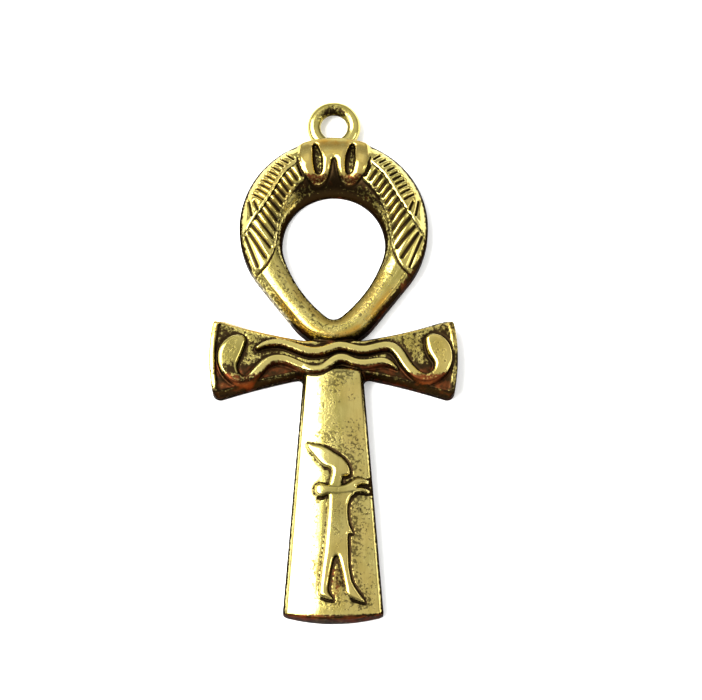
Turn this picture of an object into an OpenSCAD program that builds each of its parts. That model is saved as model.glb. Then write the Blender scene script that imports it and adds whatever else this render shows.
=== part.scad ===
// Ankh pendant: one casting with a cast-on hanging ring.
// It lies on its flat back: +X to the wearer's left, +Y towards the hanging ring, +Z out of the face.
// Lengths are in millimetres. The forms are laid out from the crossing of the arms and the stem,
// then moved so that the middle of the whole box stands on the origin.

/* [Loop] */
// Outer radius of the loop's round top
loop_outer_r = 11.4; // [9:0.1:14]
// How far the loop's foot reaches down into the arms
loop_seat = 0.47; // [0.2:0.01:1.2]
// Radius of the round top of the teardrop opening
hole_r = 6.2; // [4:0.1:8]
// Centre of the opening's round top above the crossing
hole_y = 14.6; // [12:0.1:17]
// Radius of the opening's long sides
hole_side_r = 16; // [13:0.5:24]
// Radius of the opening's lower tip
hole_tip_r = 1.4; // [0.8:0.1:2.5]
// Angle below level where the outer curve turns into the straight flank
flank_angle = 38; // [30:1:46]
// Radius of the loop's lower outer curve, where it meets the arms
loop_foot_r = 6; // [4:0.5:8]
// Height of the loop at the middle of its band
loop_h = 4; // [3:0.1:5]
// Height of the loop's upright sides
loop_side_h = 1.4; // [0.8:0.1:2]

/* [Hanging ring] */
// Radius of the hole for the jump ring
bail_hole_r = 1.6; // [1:0.05:2]
// Radius from the ring's centre to the middle of its wire
bail_wire_ring_r = 2.35; // [2:0.05:3]
// Radius of the ring's wire
bail_wire_r = 0.9; // [0.6:0.05:1.1]
// Height of the ring's centre above the loop's top
bail_rise = 1.7; // [0.8:0.05:2.4]
// Height of the ring's middle plane above the back
bail_z = 1.3; // [1:0.05:2]
// Width of the low shoulder that carries the ring
shoulder_w = 5.2; // [4:0.1:7]
// Height of that shoulder's top above the back
shoulder_h = 2.4; // [2:0.1:3]

/* [Arms] */
// Half of the arms' span, to the middle of each bowed end
arm_half = 14.85; // [12:0.05:18]
// Half of the arms' height at their ends
arm_end_half = 4.8; // [4:0.05:6.5]
// Half of the arms' height where they meet the stem
arm_root_half = 2.2; // [1.6:0.05:3]
// How far each arm end bows outward
arm_bow = 0.4; // [0.1:0.05:1]
// How far the long edges of an arm curve inward
arm_sag = 0.14; // [0:0.02:0.5]
// Radius of the arms' corners
arm_corner_r = 0.9; // [0.3:0.05:1.4]
// Height of the arms' rims above the back
arm_h = 3.3; // [2.5:0.1:4]
// Depth of the sunken field between the rims
field_depth = 0.65; // [0.3:0.05:1.2]
// Width of the rim at each arm end
end_rim_w = 0.6; // [0.4:0.05:1]
// Width of the rim along an arm's long edges
edge_rim_w = 0.55; // [0.3:0.05:1]

/* [Stem] */
// Length of the stem from the crossing to the middle of its foot
stem_len = 32.05; // [26:0.05:40]
// Half of the stem's width where it leaves the arms
stem_top_half = 3.5; // [3:0.05:5]
// Half of the stem's width at the foot
stem_foot_half = 5.9; // [4.5:0.05:8]
// How far the foot bows outward
stem_bow = 0.8; // [0.2:0.05:1.5]
// Height of the stem along its middle
stem_h = 3.5; // [2.8:0.1:4.5]
// Radius of the stem's rounded face
stem_face_r = 14; // [10:0.5:30]

/* [Relief] */
// Height of the wing layer above the loop
wing_lift = 0.2; // [0.1:0.05:0.4]
// Height of each barb above the wing layer
barb_h = 0.25; // [0.1:0.05:0.4]
// Barbs in the outer row of one wing
outer_barbs = 14; // [8:1:18]
// Barbs in the inner row of one wing
inner_barbs = 16; // [10:1:20]
// Height of the lobed clasp above the loop
clasp_lift = 0.4; // [0.2:0.05:0.8]
// Height of a cobra's back above the sunken field
cobra_h = 1.1; // [0.6:0.05:1.5]
// Height of the standing figure above the stem's middle line
figure_h = 0.6; // [0.3:0.05:1]

/* [Hidden] */
back_z = 0;
foot_y = arm_root_half - loop_seat + loop_foot_r;   // centre of the loop's lower outer curve
loop_outer_y = foot_y + (loop_outer_r - loop_foot_r) / sin(flank_angle);   // centre of its round top
bail_y = loop_outer_y + loop_outer_r + bail_rise;
total_top = bail_y + bail_wire_ring_r + bail_wire_r;
middle_y = (total_top - stem_len) / 2;
field_z = arm_h - field_depth;
shoulder_drop = 0.15;   // the shoulder's top lies this far below the hole
shoulder_sink = 2;      // its foot lies this far inside the loop's band
end_bow_angle = 8;      // turn of the bowed end where the corner takes over
root_z = 1.2;          // every raised form starts this high, inside the metal
arc_steps = 8;         // chords in a short arc
bow_steps = 5;         // chords from the middle of a bowed end to its corner
loop_steps = 46;       // stations down one side of the loop
dome_steps = 8;        // chords across a rounded back
ridge_steps = 6;       // chords across a thin ridge
smooth_steps = 3;      // stations between two rows of a table
round_fn = 64;

// Opening: three arcs a side, each tangent to the next.
side_from = -20;
side_c = [-(hole_side_r - hole_r) * cos(side_from), hole_y - (hole_side_r - hole_r) * sin(side_from)];
tip_y = side_c.y - sqrt(pow(hole_side_r - hole_tip_r, 2) - pow(side_c.x, 2));
side_to = atan2(tip_y - side_c.y, -side_c.x);
hole_l1 = arc_len(hole_r, 90 - side_from);
hole_l2 = arc_len(hole_side_r, side_from - side_to);
hole_l3 = arc_len(hole_tip_r, side_to + 90);
hole_l = hole_l1 + hole_l2 + hole_l3;

// Outer curve: an arc, a straight flank, and an arc into the arms.
flank_n = [cos(flank_angle), -sin(flank_angle)];
flank_a = [0, loop_outer_y] + loop_outer_r * flank_n;
flank_b = [0, foot_y] + loop_foot_r * flank_n;
rim_l1 = arc_len(loop_outer_r, 90 + flank_angle);
rim_l2 = norm(flank_b - flank_a);
rim_l3 = arc_len(loop_foot_r, 90 - flank_angle);
rim_l = rim_l1 + rim_l2 + rim_l3;

// Wing: points on one side of the loop. "along" runs down the band from 0 at the top to 1 at the
// bottom, "across" runs from 0 at the opening to 1 at the outer edge.
// Columns: vein along, vein across, outer tip along, outer tip across, inner tip along, inner tip across
wing_rows = [
  [0.147, 0.67, 0.163, 0.92, 0.145, 0.33],
  [0.200, 0.58, 0.206, 0.90, 0.190, 0.27],
  [0.260, 0.50, 0.262, 0.87, 0.262, 0.22],
  [0.330, 0.49, 0.322, 0.86, 0.342, 0.16],
  [0.390, 0.54, 0.365, 0.87, 0.405, 0.13],
  [0.440, 0.68, 0.400, 0.91, 0.490, 0.15],
  [0.475, 0.80, 0.430, 0.93, 0.545, 0.25],
  [0.500, 0.90, 0.480, 0.95, 0.600, 0.55],
  [0.515, 0.94, 0.505, 0.97, 0.648, 0.90]
];

// Cobras: the middle line of each body, head first, as shares of arm_half.
// Columns: x, y, half width
lower_cobra = [
  [-0.77, 0.118, 0.050], [-0.80, 0.095, 0.075], [-0.825, 0.055, 0.090], [-0.84, 0.005, 0.090],
  [-0.845, -0.04, 0.074], [-0.84, -0.085, 0.062], [-0.82, -0.135, 0.053], [-0.79, -0.183, 0.043],
  [-0.74, -0.213, 0.044], [-0.685, -0.21, 0.043], [-0.635, -0.167, 0.043], [-0.585, -0.105, 0.043],
  [-0.53, -0.052, 0.041], [-0.465, -0.025, 0.041], [-0.39, -0.028, 0.040], [-0.31, -0.062, 0.039],
  [-0.22, -0.103, 0.039], [-0.14, -0.12, 0.039], [-0.085, -0.106, 0.040], [-0.03, -0.063, 0.040],
  [0.02, -0.027, 0.040], [0.07, -0.016, 0.040], [0.12, -0.032, 0.038], [0.175, -0.058, 0.038],
  [0.24, -0.067, 0.038], [0.33, -0.052, 0.038], [0.41, -0.047, 0.036], [0.445, -0.062, 0.028],
  [0.485, -0.09, 0.018], [0.52, -0.117, 0.005]
];
upper_cobra = [
  [0.793, 0.135, 0.051], [0.82, 0.114, 0.074], [0.845, 0.075, 0.092], [0.86, 0.028, 0.090],
  [0.875, -0.025, 0.072], [0.87, -0.082, 0.061], [0.84, -0.138, 0.051], [0.795, -0.18, 0.044],
  [0.745, -0.194, 0.044], [0.695, -0.182, 0.043], [0.65, -0.152, 0.042], [0.61, -0.112, 0.042],
  [0.58, -0.065, 0.042], [0.552, -0.018, 0.042], [0.52, 0.032, 0.042], [0.477, 0.071, 0.041],
  [0.433, 0.085, 0.040], [0.38, 0.078, 0.040], [0.305, 0.058, 0.040], [0.23, 0.046, 0.040],
  [0.17, 0.055, 0.039], [0.12, 0.073, 0.038], [0.07, 0.083, 0.038], [0.02, 0.078, 0.038],
  [-0.05, 0.052, 0.039], [-0.135, 0.032, 0.041], [-0.2, 0.035, 0.041], [-0.29, 0.065, 0.040],
  [-0.37, 0.098, 0.038], [-0.455, 0.112, 0.035], [-0.525, 0.102, 0.030], [-0.572, 0.086, 0.023],
  [-0.609, 0.064, 0.018]
];

// Standing figure: the middle line of each limb as shares of stem_len, y from the crossing down.
// Columns: x, y, half width
figure_limbs = [
  [[-0.094, -0.346, 0.009], [-0.076, -0.362, 0.019], [-0.050, -0.382, 0.029], [-0.023, -0.401, 0.033],
   [0.003, -0.417, 0.035], [0.023, -0.433, 0.032], [0.034, -0.448, 0.025], [0.039, -0.460, 0.012]],
  [[0.008, -0.435, 0.019], [0.007, -0.475, 0.020], [0.006, -0.510, 0.021]],
  [[-0.066, -0.520, 0.012], [-0.058, -0.520, 0.022], [-0.045, -0.520, 0.023], [-0.026, -0.521, 0.019],
   [0.006, -0.522, 0.019], [0.039, -0.519, 0.019], [0.062, -0.511, 0.019], [0.079, -0.497, 0.017],
   [0.096, -0.486, 0.013], [0.113, -0.485, 0.011], [0.129, -0.489, 0.006]],
  [[0.070, -0.519, 0.012], [0.087, -0.519, 0.010], [0.107, -0.517, 0.009], [0.129, -0.522, 0.005]],
  [[0.017, -0.530, 0.037], [0.016, -0.568, 0.037], [0.014, -0.621, 0.039], [0.018, -0.668, 0.045],
   [0.013, -0.692, 0.043], [0.011, -0.738, 0.046], [0.009, -0.770, 0.046]],
  [[-0.014, -0.745, 0.024], [-0.021, -0.795, 0.021], [-0.030, -0.850, 0.018], [-0.036, -0.890, 0.018],
   [-0.033, -0.912, 0.020], [-0.023, -0.926, 0.012]],
  [[0.036, -0.745, 0.022], [0.040, -0.790, 0.018], [0.047, -0.830, 0.016], [0.057, -0.868, 0.016],
   [0.071, -0.899, 0.017], [0.092, -0.923, 0.012], [0.108, -0.934, 0.005]]
];

// Clasp: the middle line of one lobe from the loop's top down, as shares of loop_outer_r.
// Columns: x, y from the crossing, half width
clasp_lobe = [
  [0.196, 2.370, 0.205], [0.194, 2.290, 0.205], [0.190, 2.180, 0.190], [0.186, 2.070, 0.164],
  [0.184, 1.980, 0.133], [0.184, 1.920, 0.100], [0.184, 1.885, 0.040]
];
slot_x = 0.170 * loop_outer_r;
slot_half_w = 0.052 * loop_outer_r;
slot_top = 2.315 * loop_outer_r;
slot_bottom = 2.05 * loop_outer_r;
stem_rise = 0.45;       // the stem's face runs this far up over the arms
figure_edge = 0.12;      // the figure rises upright this far before it rounds over
slot_floor = 3.2;

function arc_len(r, angle) = r * angle * PI / 180;
function on_arc(c, r, angle) = [c.x + r * cos(angle), c.y + r * sin(angle)];
function mix(a, b, t) = a * (1 - t) + b * t;
function bend(p, q, sag, t) =
  mix(p, q, t) + 4 * sag * t * (1 - t) * [p.y - q.y, q.x - p.x] / norm(q - p);

// A point of the opening's edge, and of the outer edge, by its share of the way down.
function hole_at(u) =
  let (d = u * hole_l)
  d < hole_l1 ? on_arc([0, hole_y], hole_r, 90 - d / hole_r * 180 / PI)
  : d < hole_l1 + hole_l2 ? on_arc(side_c, hole_side_r, side_from - (d - hole_l1) / hole_side_r * 180 / PI)
  : on_arc([0, tip_y], hole_tip_r, side_to - (d - hole_l1 - hole_l2) / hole_tip_r * 180 / PI);
function rim_at(u) =
  let (d = u * rim_l)
  d < rim_l1 ? on_arc([0, loop_outer_y], loop_outer_r, 90 - d / loop_outer_r * 180 / PI)
  : d < rim_l1 + rim_l2 ? mix(flank_a, flank_b, (d - rim_l1) / rim_l2)
  : on_arc([0, foot_y], loop_foot_r, -flank_angle - (d - rim_l1 - rim_l2) / loop_foot_r * 180 / PI);
function band_at(u, v) = mix(hole_at(u), rim_at(u), v);
function dome(v) = loop_side_h + (loop_h - loop_side_h) * sqrt(max(0, 1 - pow(2 * v - 1, 2)));

// The dome's height over a point of the loop's upper half.
function dome_over(p) =
  let (inner = norm(p - [0, hole_y]) - hole_r, outer = loop_outer_r - norm(p - [0, loop_outer_y]))
  dome(min(1, max(0, inner / (inner + outer))));

// One row of a table at a place between its rows, straight or smooth.
function row_at(table, t) =
  let (k = t * (len(table) - 1), i = min(len(table) - 2, floor(k)))
  mix(table[i], table[i + 1], k - i);
function clamp_row(table, i) = table[min(len(table) - 1, max(0, i))];
function smooth_at(table, k) =
  let (i = min(len(table) - 2, floor(k)), t = k - i,
       a = clamp_row(table, i - 1), b = table[i], c = table[i + 1], d = clamp_row(table, i + 2))
  b + 0.5 * t * (c - a + t * (2 * a - 5 * b + 4 * c - d + t * (3 * (b - c) + d - a)));
function smooth(table) = [for (i = [0 : smooth_steps * (len(table) - 1)]) smooth_at(table, i / smooth_steps)];

// Closes a grid of surface points into a solid with a flat base at height z.
module slab(top, z) {
  m = len(top);
  n = len(top[0]);
  w = n + 2;
  points = [for (row = top) each concat(row, [[row[0].x, row[0].y, z], [row[n - 1].x, row[n - 1].y, z]])];
  polyhedron(points, concat(
    [for (i = [0 : m - 2], j = [0 : n - 2]) [i * w + j, (i + 1) * w + j, i * w + j + 1]],
    [for (i = [0 : m - 2], j = [0 : n - 2]) [i * w + j + 1, (i + 1) * w + j, (i + 1) * w + j + 1]],
    [for (i = [0 : m - 2]) [i * w + n, i * w + n + 1, (i + 1) * w + n + 1, (i + 1) * w + n]],
    [for (i = [0 : m - 2]) [i * w, i * w + n, (i + 1) * w + n, (i + 1) * w]],
    [for (i = [0 : m - 2]) [i * w + n - 1, (i + 1) * w + n - 1, (i + 1) * w + n + 1, i * w + n + 1]],
    [concat([for (j = [0 : n - 1]) j], [n + 1, n])],
    [concat([for (j = [n - 1 : -1 : 0]) (m - 1) * w + j], [(m - 1) * w + n, (m - 1) * w + n + 1])]
  ));
}

// A rounded ridge along stations of [x, y, half width]; it rises from edge_z to crest_z.
module ridge(stations, edge_z, crest_z) {
  last = len(stations) - 1;
  slab([for (i = [0 : last])
    let (s = stations[i], d = stations[min(last, i + 1)] - stations[max(0, i - 1)],
         side = [-d.y, d.x] / norm([d.x, d.y]), full = min(1, s[2] / (crest_z - edge_z)))
    [for (j = [0 : ridge_steps]) let (q = cos(180 * j / ridge_steps))
      [s.x + side.x * s[2] * q, s.y + side.y * s[2] * q,
       edge_z + (crest_z - edge_z) * full * sin(180 * j / ridge_steps)]]], root_z);
}

// Mirrors a right-hand form to the left and keeps both.
module both_sides() {
  children();
  mirror([1, 0, 0]) children();
}

// The loop's band: flat back, upright sides, rounded front.
module loop_band() {
  sides = concat([for (i = [0 : loop_steps]) [i / loop_steps, 1]],
                 [for (i = [loop_steps - 1 : -1 : 1]) [i / loop_steps, -1]]);
  m = len(sides);
  w = dome_steps + 3;
  points = [for (s = sides) each concat(
    [for (j = [0 : dome_steps])
      let (v = (1 - cos(180 * j / dome_steps)) / 2, p = band_at(s[0], v)) [s[1] * p.x, p.y, dome(v)]],
    [let (p = rim_at(s[0])) [s[1] * p.x, p.y, back_z]],
    [let (p = hole_at(s[0])) [s[1] * p.x, p.y, back_z]])];
  polyhedron(points, [for (i = [0 : m - 1], j = [0 : w - 1], half = [0, 1])
    let (a = i * w, b = (i + 1) % m * w, k = (j + 1) % w)
    half == 0 ? [a + j, a + k, b + j] : [a + k, b + k, b + j]]);
}

// One row of barbs: a zigzag layer between the vein and the tips.
module barb_row(count, tip_column, columns) {
  slab([for (i = [0 : 2 * count])
    let (r = row_at(wing_rows, i / (2 * count)), a = band_at(r[0], r[1]),
         b = band_at(r[tip_column], r[tip_column + 1]), up = wing_lift + (i % 2) * barb_h,
         order = tip_column == 2 ? [columns : -1 : 0] : [0 : columns])
    [for (j = order) let (t = j / columns, p = mix(a, b, t))
      [p.x, p.y, dome(mix(r[1], r[tip_column + 1], t)) + up * (t == 1 ? 0.6 : 1)]]], root_z);
}

// One wing on the right of the loop: the long inner feathers and the short outer ones.
module wing() {
  barb_row(inner_barbs, 4, 5);
  barb_row(outer_barbs, 2, 4);
}

// Half of the lobed clasp over the top of the loop.
module clasp_half() {
  stations = smooth([for (r = clasp_lobe) r * loop_outer_r]);
  last = len(stations) - 1;
  difference() {
    slab([for (s = stations) [for (j = [0 : dome_steps])
      let (q = cos(180 * j / dome_steps), p = [s.x + q * s[2], s.y])
      [p.x, p.y, dome_over(p) + clasp_lift * sin(180 * j / dome_steps)]]], root_z);
    translate([slot_x, slot_bottom + slot_half_w, slot_floor]) cylinder(r = slot_half_w, h = loop_h, $fn = round_fn);
    translate([slot_x - slot_half_w, slot_bottom + slot_half_w, slot_floor])
      cube([2 * slot_half_w, slot_top - slot_bottom, loop_h]);
  }
}

module loop_ornament() {
  both_sides() wing();
  both_sides() clasp_half();
}

function corner(x, y, r, from, to) = [for (i = [0 : arc_steps]) on_arc([x, y], r, mix(from, to, i / arc_steps))];
// A quarter of the arms' outline, drawn in by a given width at the ends and along the edges.
function quarter(end_in, edge_in) =
  let (r = arm_corner_r * (1 - end_in / 2), x = arm_half - arm_bow - end_in - r, y = arm_end_half - edge_in - r,
       root = [stem_top_half, arm_root_half - edge_in], slope = atan((y + r - root.y) / (x - root.x)),
       start = on_arc([x, y], r, end_bow_angle), tip = arm_half - end_in)
  concat([for (i = [0 : bow_steps - 1]) let (t = i / bow_steps) [mix(tip, start.x, t * t), start.y * t]],
    corner(x, y, r, end_bow_angle, 90 + slope),
    [for (i = [1 : arc_steps]) bend(on_arc([x, y], r, 90 + slope), root, -arm_sag, i / arc_steps)],
    [[0, root.y]]);
function arms_outline(end_in, edge_in) =
  let (q = quarter(end_in, edge_in), n = len(q) - 1)
  concat(q, [for (i = [n - 1 : -1 : 0]) [-q[i].x, q[i].y]],
         [for (i = [1 : n]) [-q[i].x, -q[i].y]], [for (i = [n - 1 : -1 : 1]) [q[i].x, -q[i].y]]);

// The arms: a flared plate with a sunken field inside its rims.
module arms() {
  difference() {
    linear_extrude(arm_h) polygon(arms_outline(0, 0));
    translate([0, 0, field_z]) linear_extrude(arm_h) polygon(arms_outline(end_rim_w, edge_rim_w));
  }
}

module cobra(table) {
  ridge(smooth([for (r = table) r * arm_half]), field_z + 0.1, field_z + cobra_h);
}

// Half of the stem's width at a height, with a little to spare past its sides.
function stem_half_at(y) = 1.05 * mix(stem_top_half, stem_foot_half, -y / stem_len);

// The stem: a flared bar with a rounded face and a bowed foot.
module stem() {
  foot = [for (i = [0 : 2 * arc_steps])
    bend([stem_foot_half, stem_bow - stem_len], [-stem_foot_half, stem_bow - stem_len], stem_bow, i / (2 * arc_steps))];
  top_y = stem_rise - arm_root_half;
  intersection() {
    linear_extrude(2 * stem_h) polygon(concat([[-stem_top_half, top_y], [stem_top_half, top_y]], foot));
    slab([for (y = [top_y + 1, -stem_len - 1]) [for (j = [0 : dome_steps])
      let (x = stem_half_at(y) * (1 - 2 * j / dome_steps))
      [x, y, stem_h - stem_face_r + sqrt(pow(stem_face_r, 2) - x * x)]]], back_z);
  }
}

module standing_figure() {
  for (limb = figure_limbs)
    ridge(smooth([for (r = limb) r * stem_len]), stem_h + figure_edge, stem_h + figure_h);
}

// The hanging ring with a short straight land inside, on its low shoulder.
module hanging_ring() {
  translate([0, bail_y, 0]) difference() {
    translate([0, 0, bail_z]) rotate_extrude($fn = round_fn)
      translate([bail_wire_ring_r, 0]) circle(r = bail_wire_r, $fn = round_fn / 2);
    translate([0, 0, -1]) cylinder(r = bail_hole_r, h = shoulder_h + 2, $fn = round_fn);
  }
  shoulder_top = bail_y - bail_hole_r - shoulder_drop;
  shoulder_foot = loop_outer_y + loop_outer_r - shoulder_sink;
  translate([-shoulder_w / 2, shoulder_foot, back_z]) cube([shoulder_w, shoulder_top - shoulder_foot, shoulder_h]);
}

module ankh_casting() {
  color("#A98F3C") translate([0, -middle_y, 0]) {
    loop_band();
    loop_ornament();
    arms();
    cobra(lower_cobra);
    cobra(upper_cobra);
    stem();
    standing_figure();
    hanging_ring();
  }
}

// Which solid to draw

ankh_casting();
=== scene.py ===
"""Dresses the cast ankh pendant for its studio picture.

The pendant is one casting, so its face is one relief: each sub-assembly is a class that presses its
own form into a shared height field, and the field then becomes one closed mesh. Lengths inside the
classes are millimetres, measured from the crossing of the arms and the stem. Meshes are in metres.
"""
import logging
import math
from dataclasses import dataclass, field
from enum import Enum

import bpy
import numpy as np
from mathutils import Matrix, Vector
from mathutils.geometry import delaunay_2d_cdt


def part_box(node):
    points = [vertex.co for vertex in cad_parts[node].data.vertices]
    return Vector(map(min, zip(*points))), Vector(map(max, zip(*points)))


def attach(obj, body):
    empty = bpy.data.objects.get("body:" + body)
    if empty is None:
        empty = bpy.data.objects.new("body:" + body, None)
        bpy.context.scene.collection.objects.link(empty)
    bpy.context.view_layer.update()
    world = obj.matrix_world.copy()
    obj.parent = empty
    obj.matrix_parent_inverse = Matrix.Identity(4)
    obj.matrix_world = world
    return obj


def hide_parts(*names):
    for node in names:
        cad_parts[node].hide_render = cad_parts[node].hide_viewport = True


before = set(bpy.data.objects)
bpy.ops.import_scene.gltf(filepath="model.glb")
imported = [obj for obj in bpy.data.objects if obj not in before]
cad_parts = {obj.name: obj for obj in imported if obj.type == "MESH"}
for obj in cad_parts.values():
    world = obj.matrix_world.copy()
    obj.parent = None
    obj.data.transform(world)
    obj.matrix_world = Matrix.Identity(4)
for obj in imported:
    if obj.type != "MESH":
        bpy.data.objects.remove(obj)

LOG = logging.getLogger("ankh_pendant")

MM = 0.001
NODE = "ankh_casting"
BODY = "root"
OUTSIDE = -5.0  # height and depth of the grid where there is no metal
FAR = 9.0  # a distance at which a groove or a limb no longer counts
MARGIN = 0.3  # how far past a form's outline its marks reach
GROOVE = "groove"  # mesh attribute: 1 on the floor of a groove between feathers
MATH, RAMP, NOISE = "ShaderNodeMath", "ShaderNodeMapRange", "ShaderNodeTexNoise"
Array = np.ndarray
Spot = tuple[float, float]


class Mark(Enum):
    """What each point of the casting tells its finish, by the name of its mesh attribute."""

    PATINA_AND_SHADE = "patina"  # the dark dip that stays in hollows, and painted shade
    RUST_AND_SHADE = "rust"  # where that dip and the painted shade are red-brown
    SPECKLE = "speckle"  # fine dark specks
    POLISH_AND_HIGHLIGHT = "polish"  # rubbed heights, and painted highlights
    WARM = "warm"  # orange plate, and warm painted highlights
    PAINTED_SHADE = "toned"  # painted shade that dulls the plate to olive
    BARB_OFF = "barb_off"  # distance from the nearest groove between feathers
    BARB_ROW = "barb_row"  # 0 by the inner feathers, 1 by the outer ones
    GRAIN_U = "grain_u"  # place along the rubbing marks
    GRAIN_V = "grain_v"  # place across them


# Shapes in the plane

def smooth_step(t: Array) -> Array:
    """Returns 0 below 0 and 1 above 1 with an even rise between."""
    t = np.clip(t, 0.0, 1.0)
    return t * t * (3.0 - 2.0 * t)


def rounded(t: Array) -> Array:
    """Returns how high a quarter round stands at a share of its width, from 0 to 1."""
    return np.sqrt(1.0 - (1.0 - np.clip(t, 0.0, 1.0)) ** 2)


def bell(off: Array, width: float) -> Array:
    """Returns 1 where off is 0 and less on both sides of it, like a bell."""
    return np.exp(-(off / width) ** 2)


def soft_max(a: Array, b: Array, k: float) -> Array:
    """Returns the larger of two fields, rounded over a width of about k where they meet."""
    h = np.clip(1.0 - np.abs(a - b) / k, 0.0, 1.0)
    return np.maximum(a, b) + h * h * k / 4.0


def arc(centre: Spot, radius: float, start: float, end: float, steps: int = 48) -> Array:
    """Draws an arc.

    Args:
        centre: the arc's centre.
        radius: its radius.
        start: its first angle in degrees.
        end: its last angle in degrees.
        steps: how many chords it takes.

    Returns:
        The arc's points, one row each.
    """
    angles = np.radians(np.linspace(start, end, steps + 1))
    return np.stack([centre[0] + radius * np.cos(angles), centre[1] + radius * np.sin(angles)], axis=1)


def mirrored(side: Array) -> Array:
    """Closes a right-hand outline, drawn from top to bottom on the centre line, with its mirror image."""
    return np.concatenate([side, side[-2:0:-1] * [-1.0, 1.0]])


def evenly(path: Array, count: int) -> Array:
    """Spreads points evenly along a path.

    Args:
        path: the path's corners, one row each.
        count: how many points.

    Returns:
        The points, one row each.
    """
    run = np.concatenate([[0.0], np.cumsum(np.hypot(*np.diff(path, axis=0).T))])
    at = np.linspace(0.0, run[-1], count)
    return np.stack([np.interp(at, run, path[:, k]) for k in (0, 1)], axis=1)


def smooth_table(table: Array, steps: int) -> Array:
    """Fills smooth rows in between the rows of a table, as a spline through them.

    Args:
        table: the rows to pass through.
        steps: how many rows come out for each row of the table.

    Returns:
        The longer table.
    """
    rows = np.concatenate([[table[0]], table, [table[-1]]])
    out = []
    for i in range(1, len(rows) - 2):
        a, b, c, d = rows[i - 1:i + 3]
        for t in np.arange(steps) / steps:
            out.append(b + 0.5 * t * (c - a + t * (2 * a - 5 * b + 4 * c - d + t * (3 * (b - c) + d - a))))
    return np.array(out + [table[-1]])


def signed_distance(x: Array, y: Array, loop: Array) -> Array:
    """Measures how far points lie inside a closed outline.

    Args:
        x: the points' first coordinates.
        y: the points' second coordinates.
        loop: the outline's corners, one row each.

    Returns:
        The distance to the outline, positive inside it and negative outside.
    """
    best = np.full(x.shape, np.inf)
    inside = np.zeros(x.shape, bool)
    for (ax, ay), (bx, by) in zip(loop, np.roll(loop, -1, axis=0)):
        ex, ey = bx - ax, by - ay
        if ex == 0.0 and ey == 0.0:
            continue
        px, py = x - ax, y - ay
        t = np.clip((px * ex + py * ey) / (ex * ex + ey * ey), 0.0, 1.0)
        best = np.minimum(best, (px - t * ex) ** 2 + (py - t * ey) ** 2)
        if ay != by:
            inside ^= ((ay > y) != (by > y)) & (x < ax + ex * (y - ay) / (by - ay))
    return np.where(inside, 1.0, -1.0) * np.sqrt(best)


def chain_reach(x: Array, y: Array, beads: Array) -> tuple[Array, Array]:
    """Measures points against a limb drawn as a chain of round beads.

    Args:
        x: the points' first coordinates.
        y: the points' second coordinates.
        beads: rows of x, y and radius, close enough to overlap.

    Returns:
        Each point's distance from the middle line as a share of the radius there, and that radius.
    """
    share = np.full(x.shape, FAR)
    radius = np.full(x.shape, beads[0, 2])
    for bx, by, r in beads:
        q = np.hypot(x - bx, y - by) / max(r, 0.05)
        nearer = q < share
        share = np.where(nearer, q, share)
        radius = np.where(nearer, r, radius)
    return share, radius


def line_reach(x: Array, y: Array, path: Array) -> tuple[Array, Array]:
    """Measures points against an open line of straight pieces.

    Args:
        x: the points' first coordinates.
        y: the points' second coordinates.
        path: the line's corners, one row each.

    Returns:
        Each point's distance from the line, and the share of the line's length at the nearest place.
    """
    best, share = np.full(x.shape, np.inf), np.zeros(x.shape)
    lengths = np.hypot(*np.diff(path, axis=0).T)
    run = np.concatenate([[0.0], np.cumsum(lengths)]) / lengths.sum()
    for i, (start, end) in enumerate(zip(path[:-1], path[1:])):
        e = end - start
        f = np.clip(((x - start[0]) * e[0] + (y - start[1]) * e[1]) / (e @ e), 0.0, 1.0)
        d = np.hypot(x - start[0] - f * e[0], y - start[1] - f * e[1])
        nearer = d < best
        best = np.where(nearer, d, best)
        share = np.where(nearer, run[i] + f * (run[i + 1] - run[i]), share)
    return best, share


def bell_weights(sigma: float, reach: int) -> Array:
    """Returns the weights of a bell of sigma cells, which add up to 1."""
    weights = np.exp(-0.5 * (np.arange(-reach, reach + 1) / sigma) ** 2)
    return weights / weights.sum()


def blurred(values: Array, sigma: float) -> Array:
    """Blurs a grid by a bell in both directions.

    Args:
        values: the grid.
        sigma: the bell's width in cells.

    Returns:
        The blurred grid.
    """
    reach = max(1, int(3 * sigma))
    weights = bell_weights(sigma, reach)
    for axis in (0, 1):
        margin = [(reach, reach) if a == axis else (0, 0) for a in (0, 1)]
        padded = np.pad(values, margin, mode="edge")
        values = sum(w * np.take(padded, range(k, k + values.shape[axis]), axis=axis)
                     for k, w in enumerate(weights))
    return values


def wipe(marks: dict[Mark, Array], share: Array) -> None:
    """Rubs a share of the dip and of the warm tone off again."""
    for mark in (Mark.PATINA_AND_SHADE, Mark.RUST_AND_SHADE, Mark.SPECKLE, Mark.WARM):
        marks[mark] *= 1.0 - share


# The relief

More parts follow.
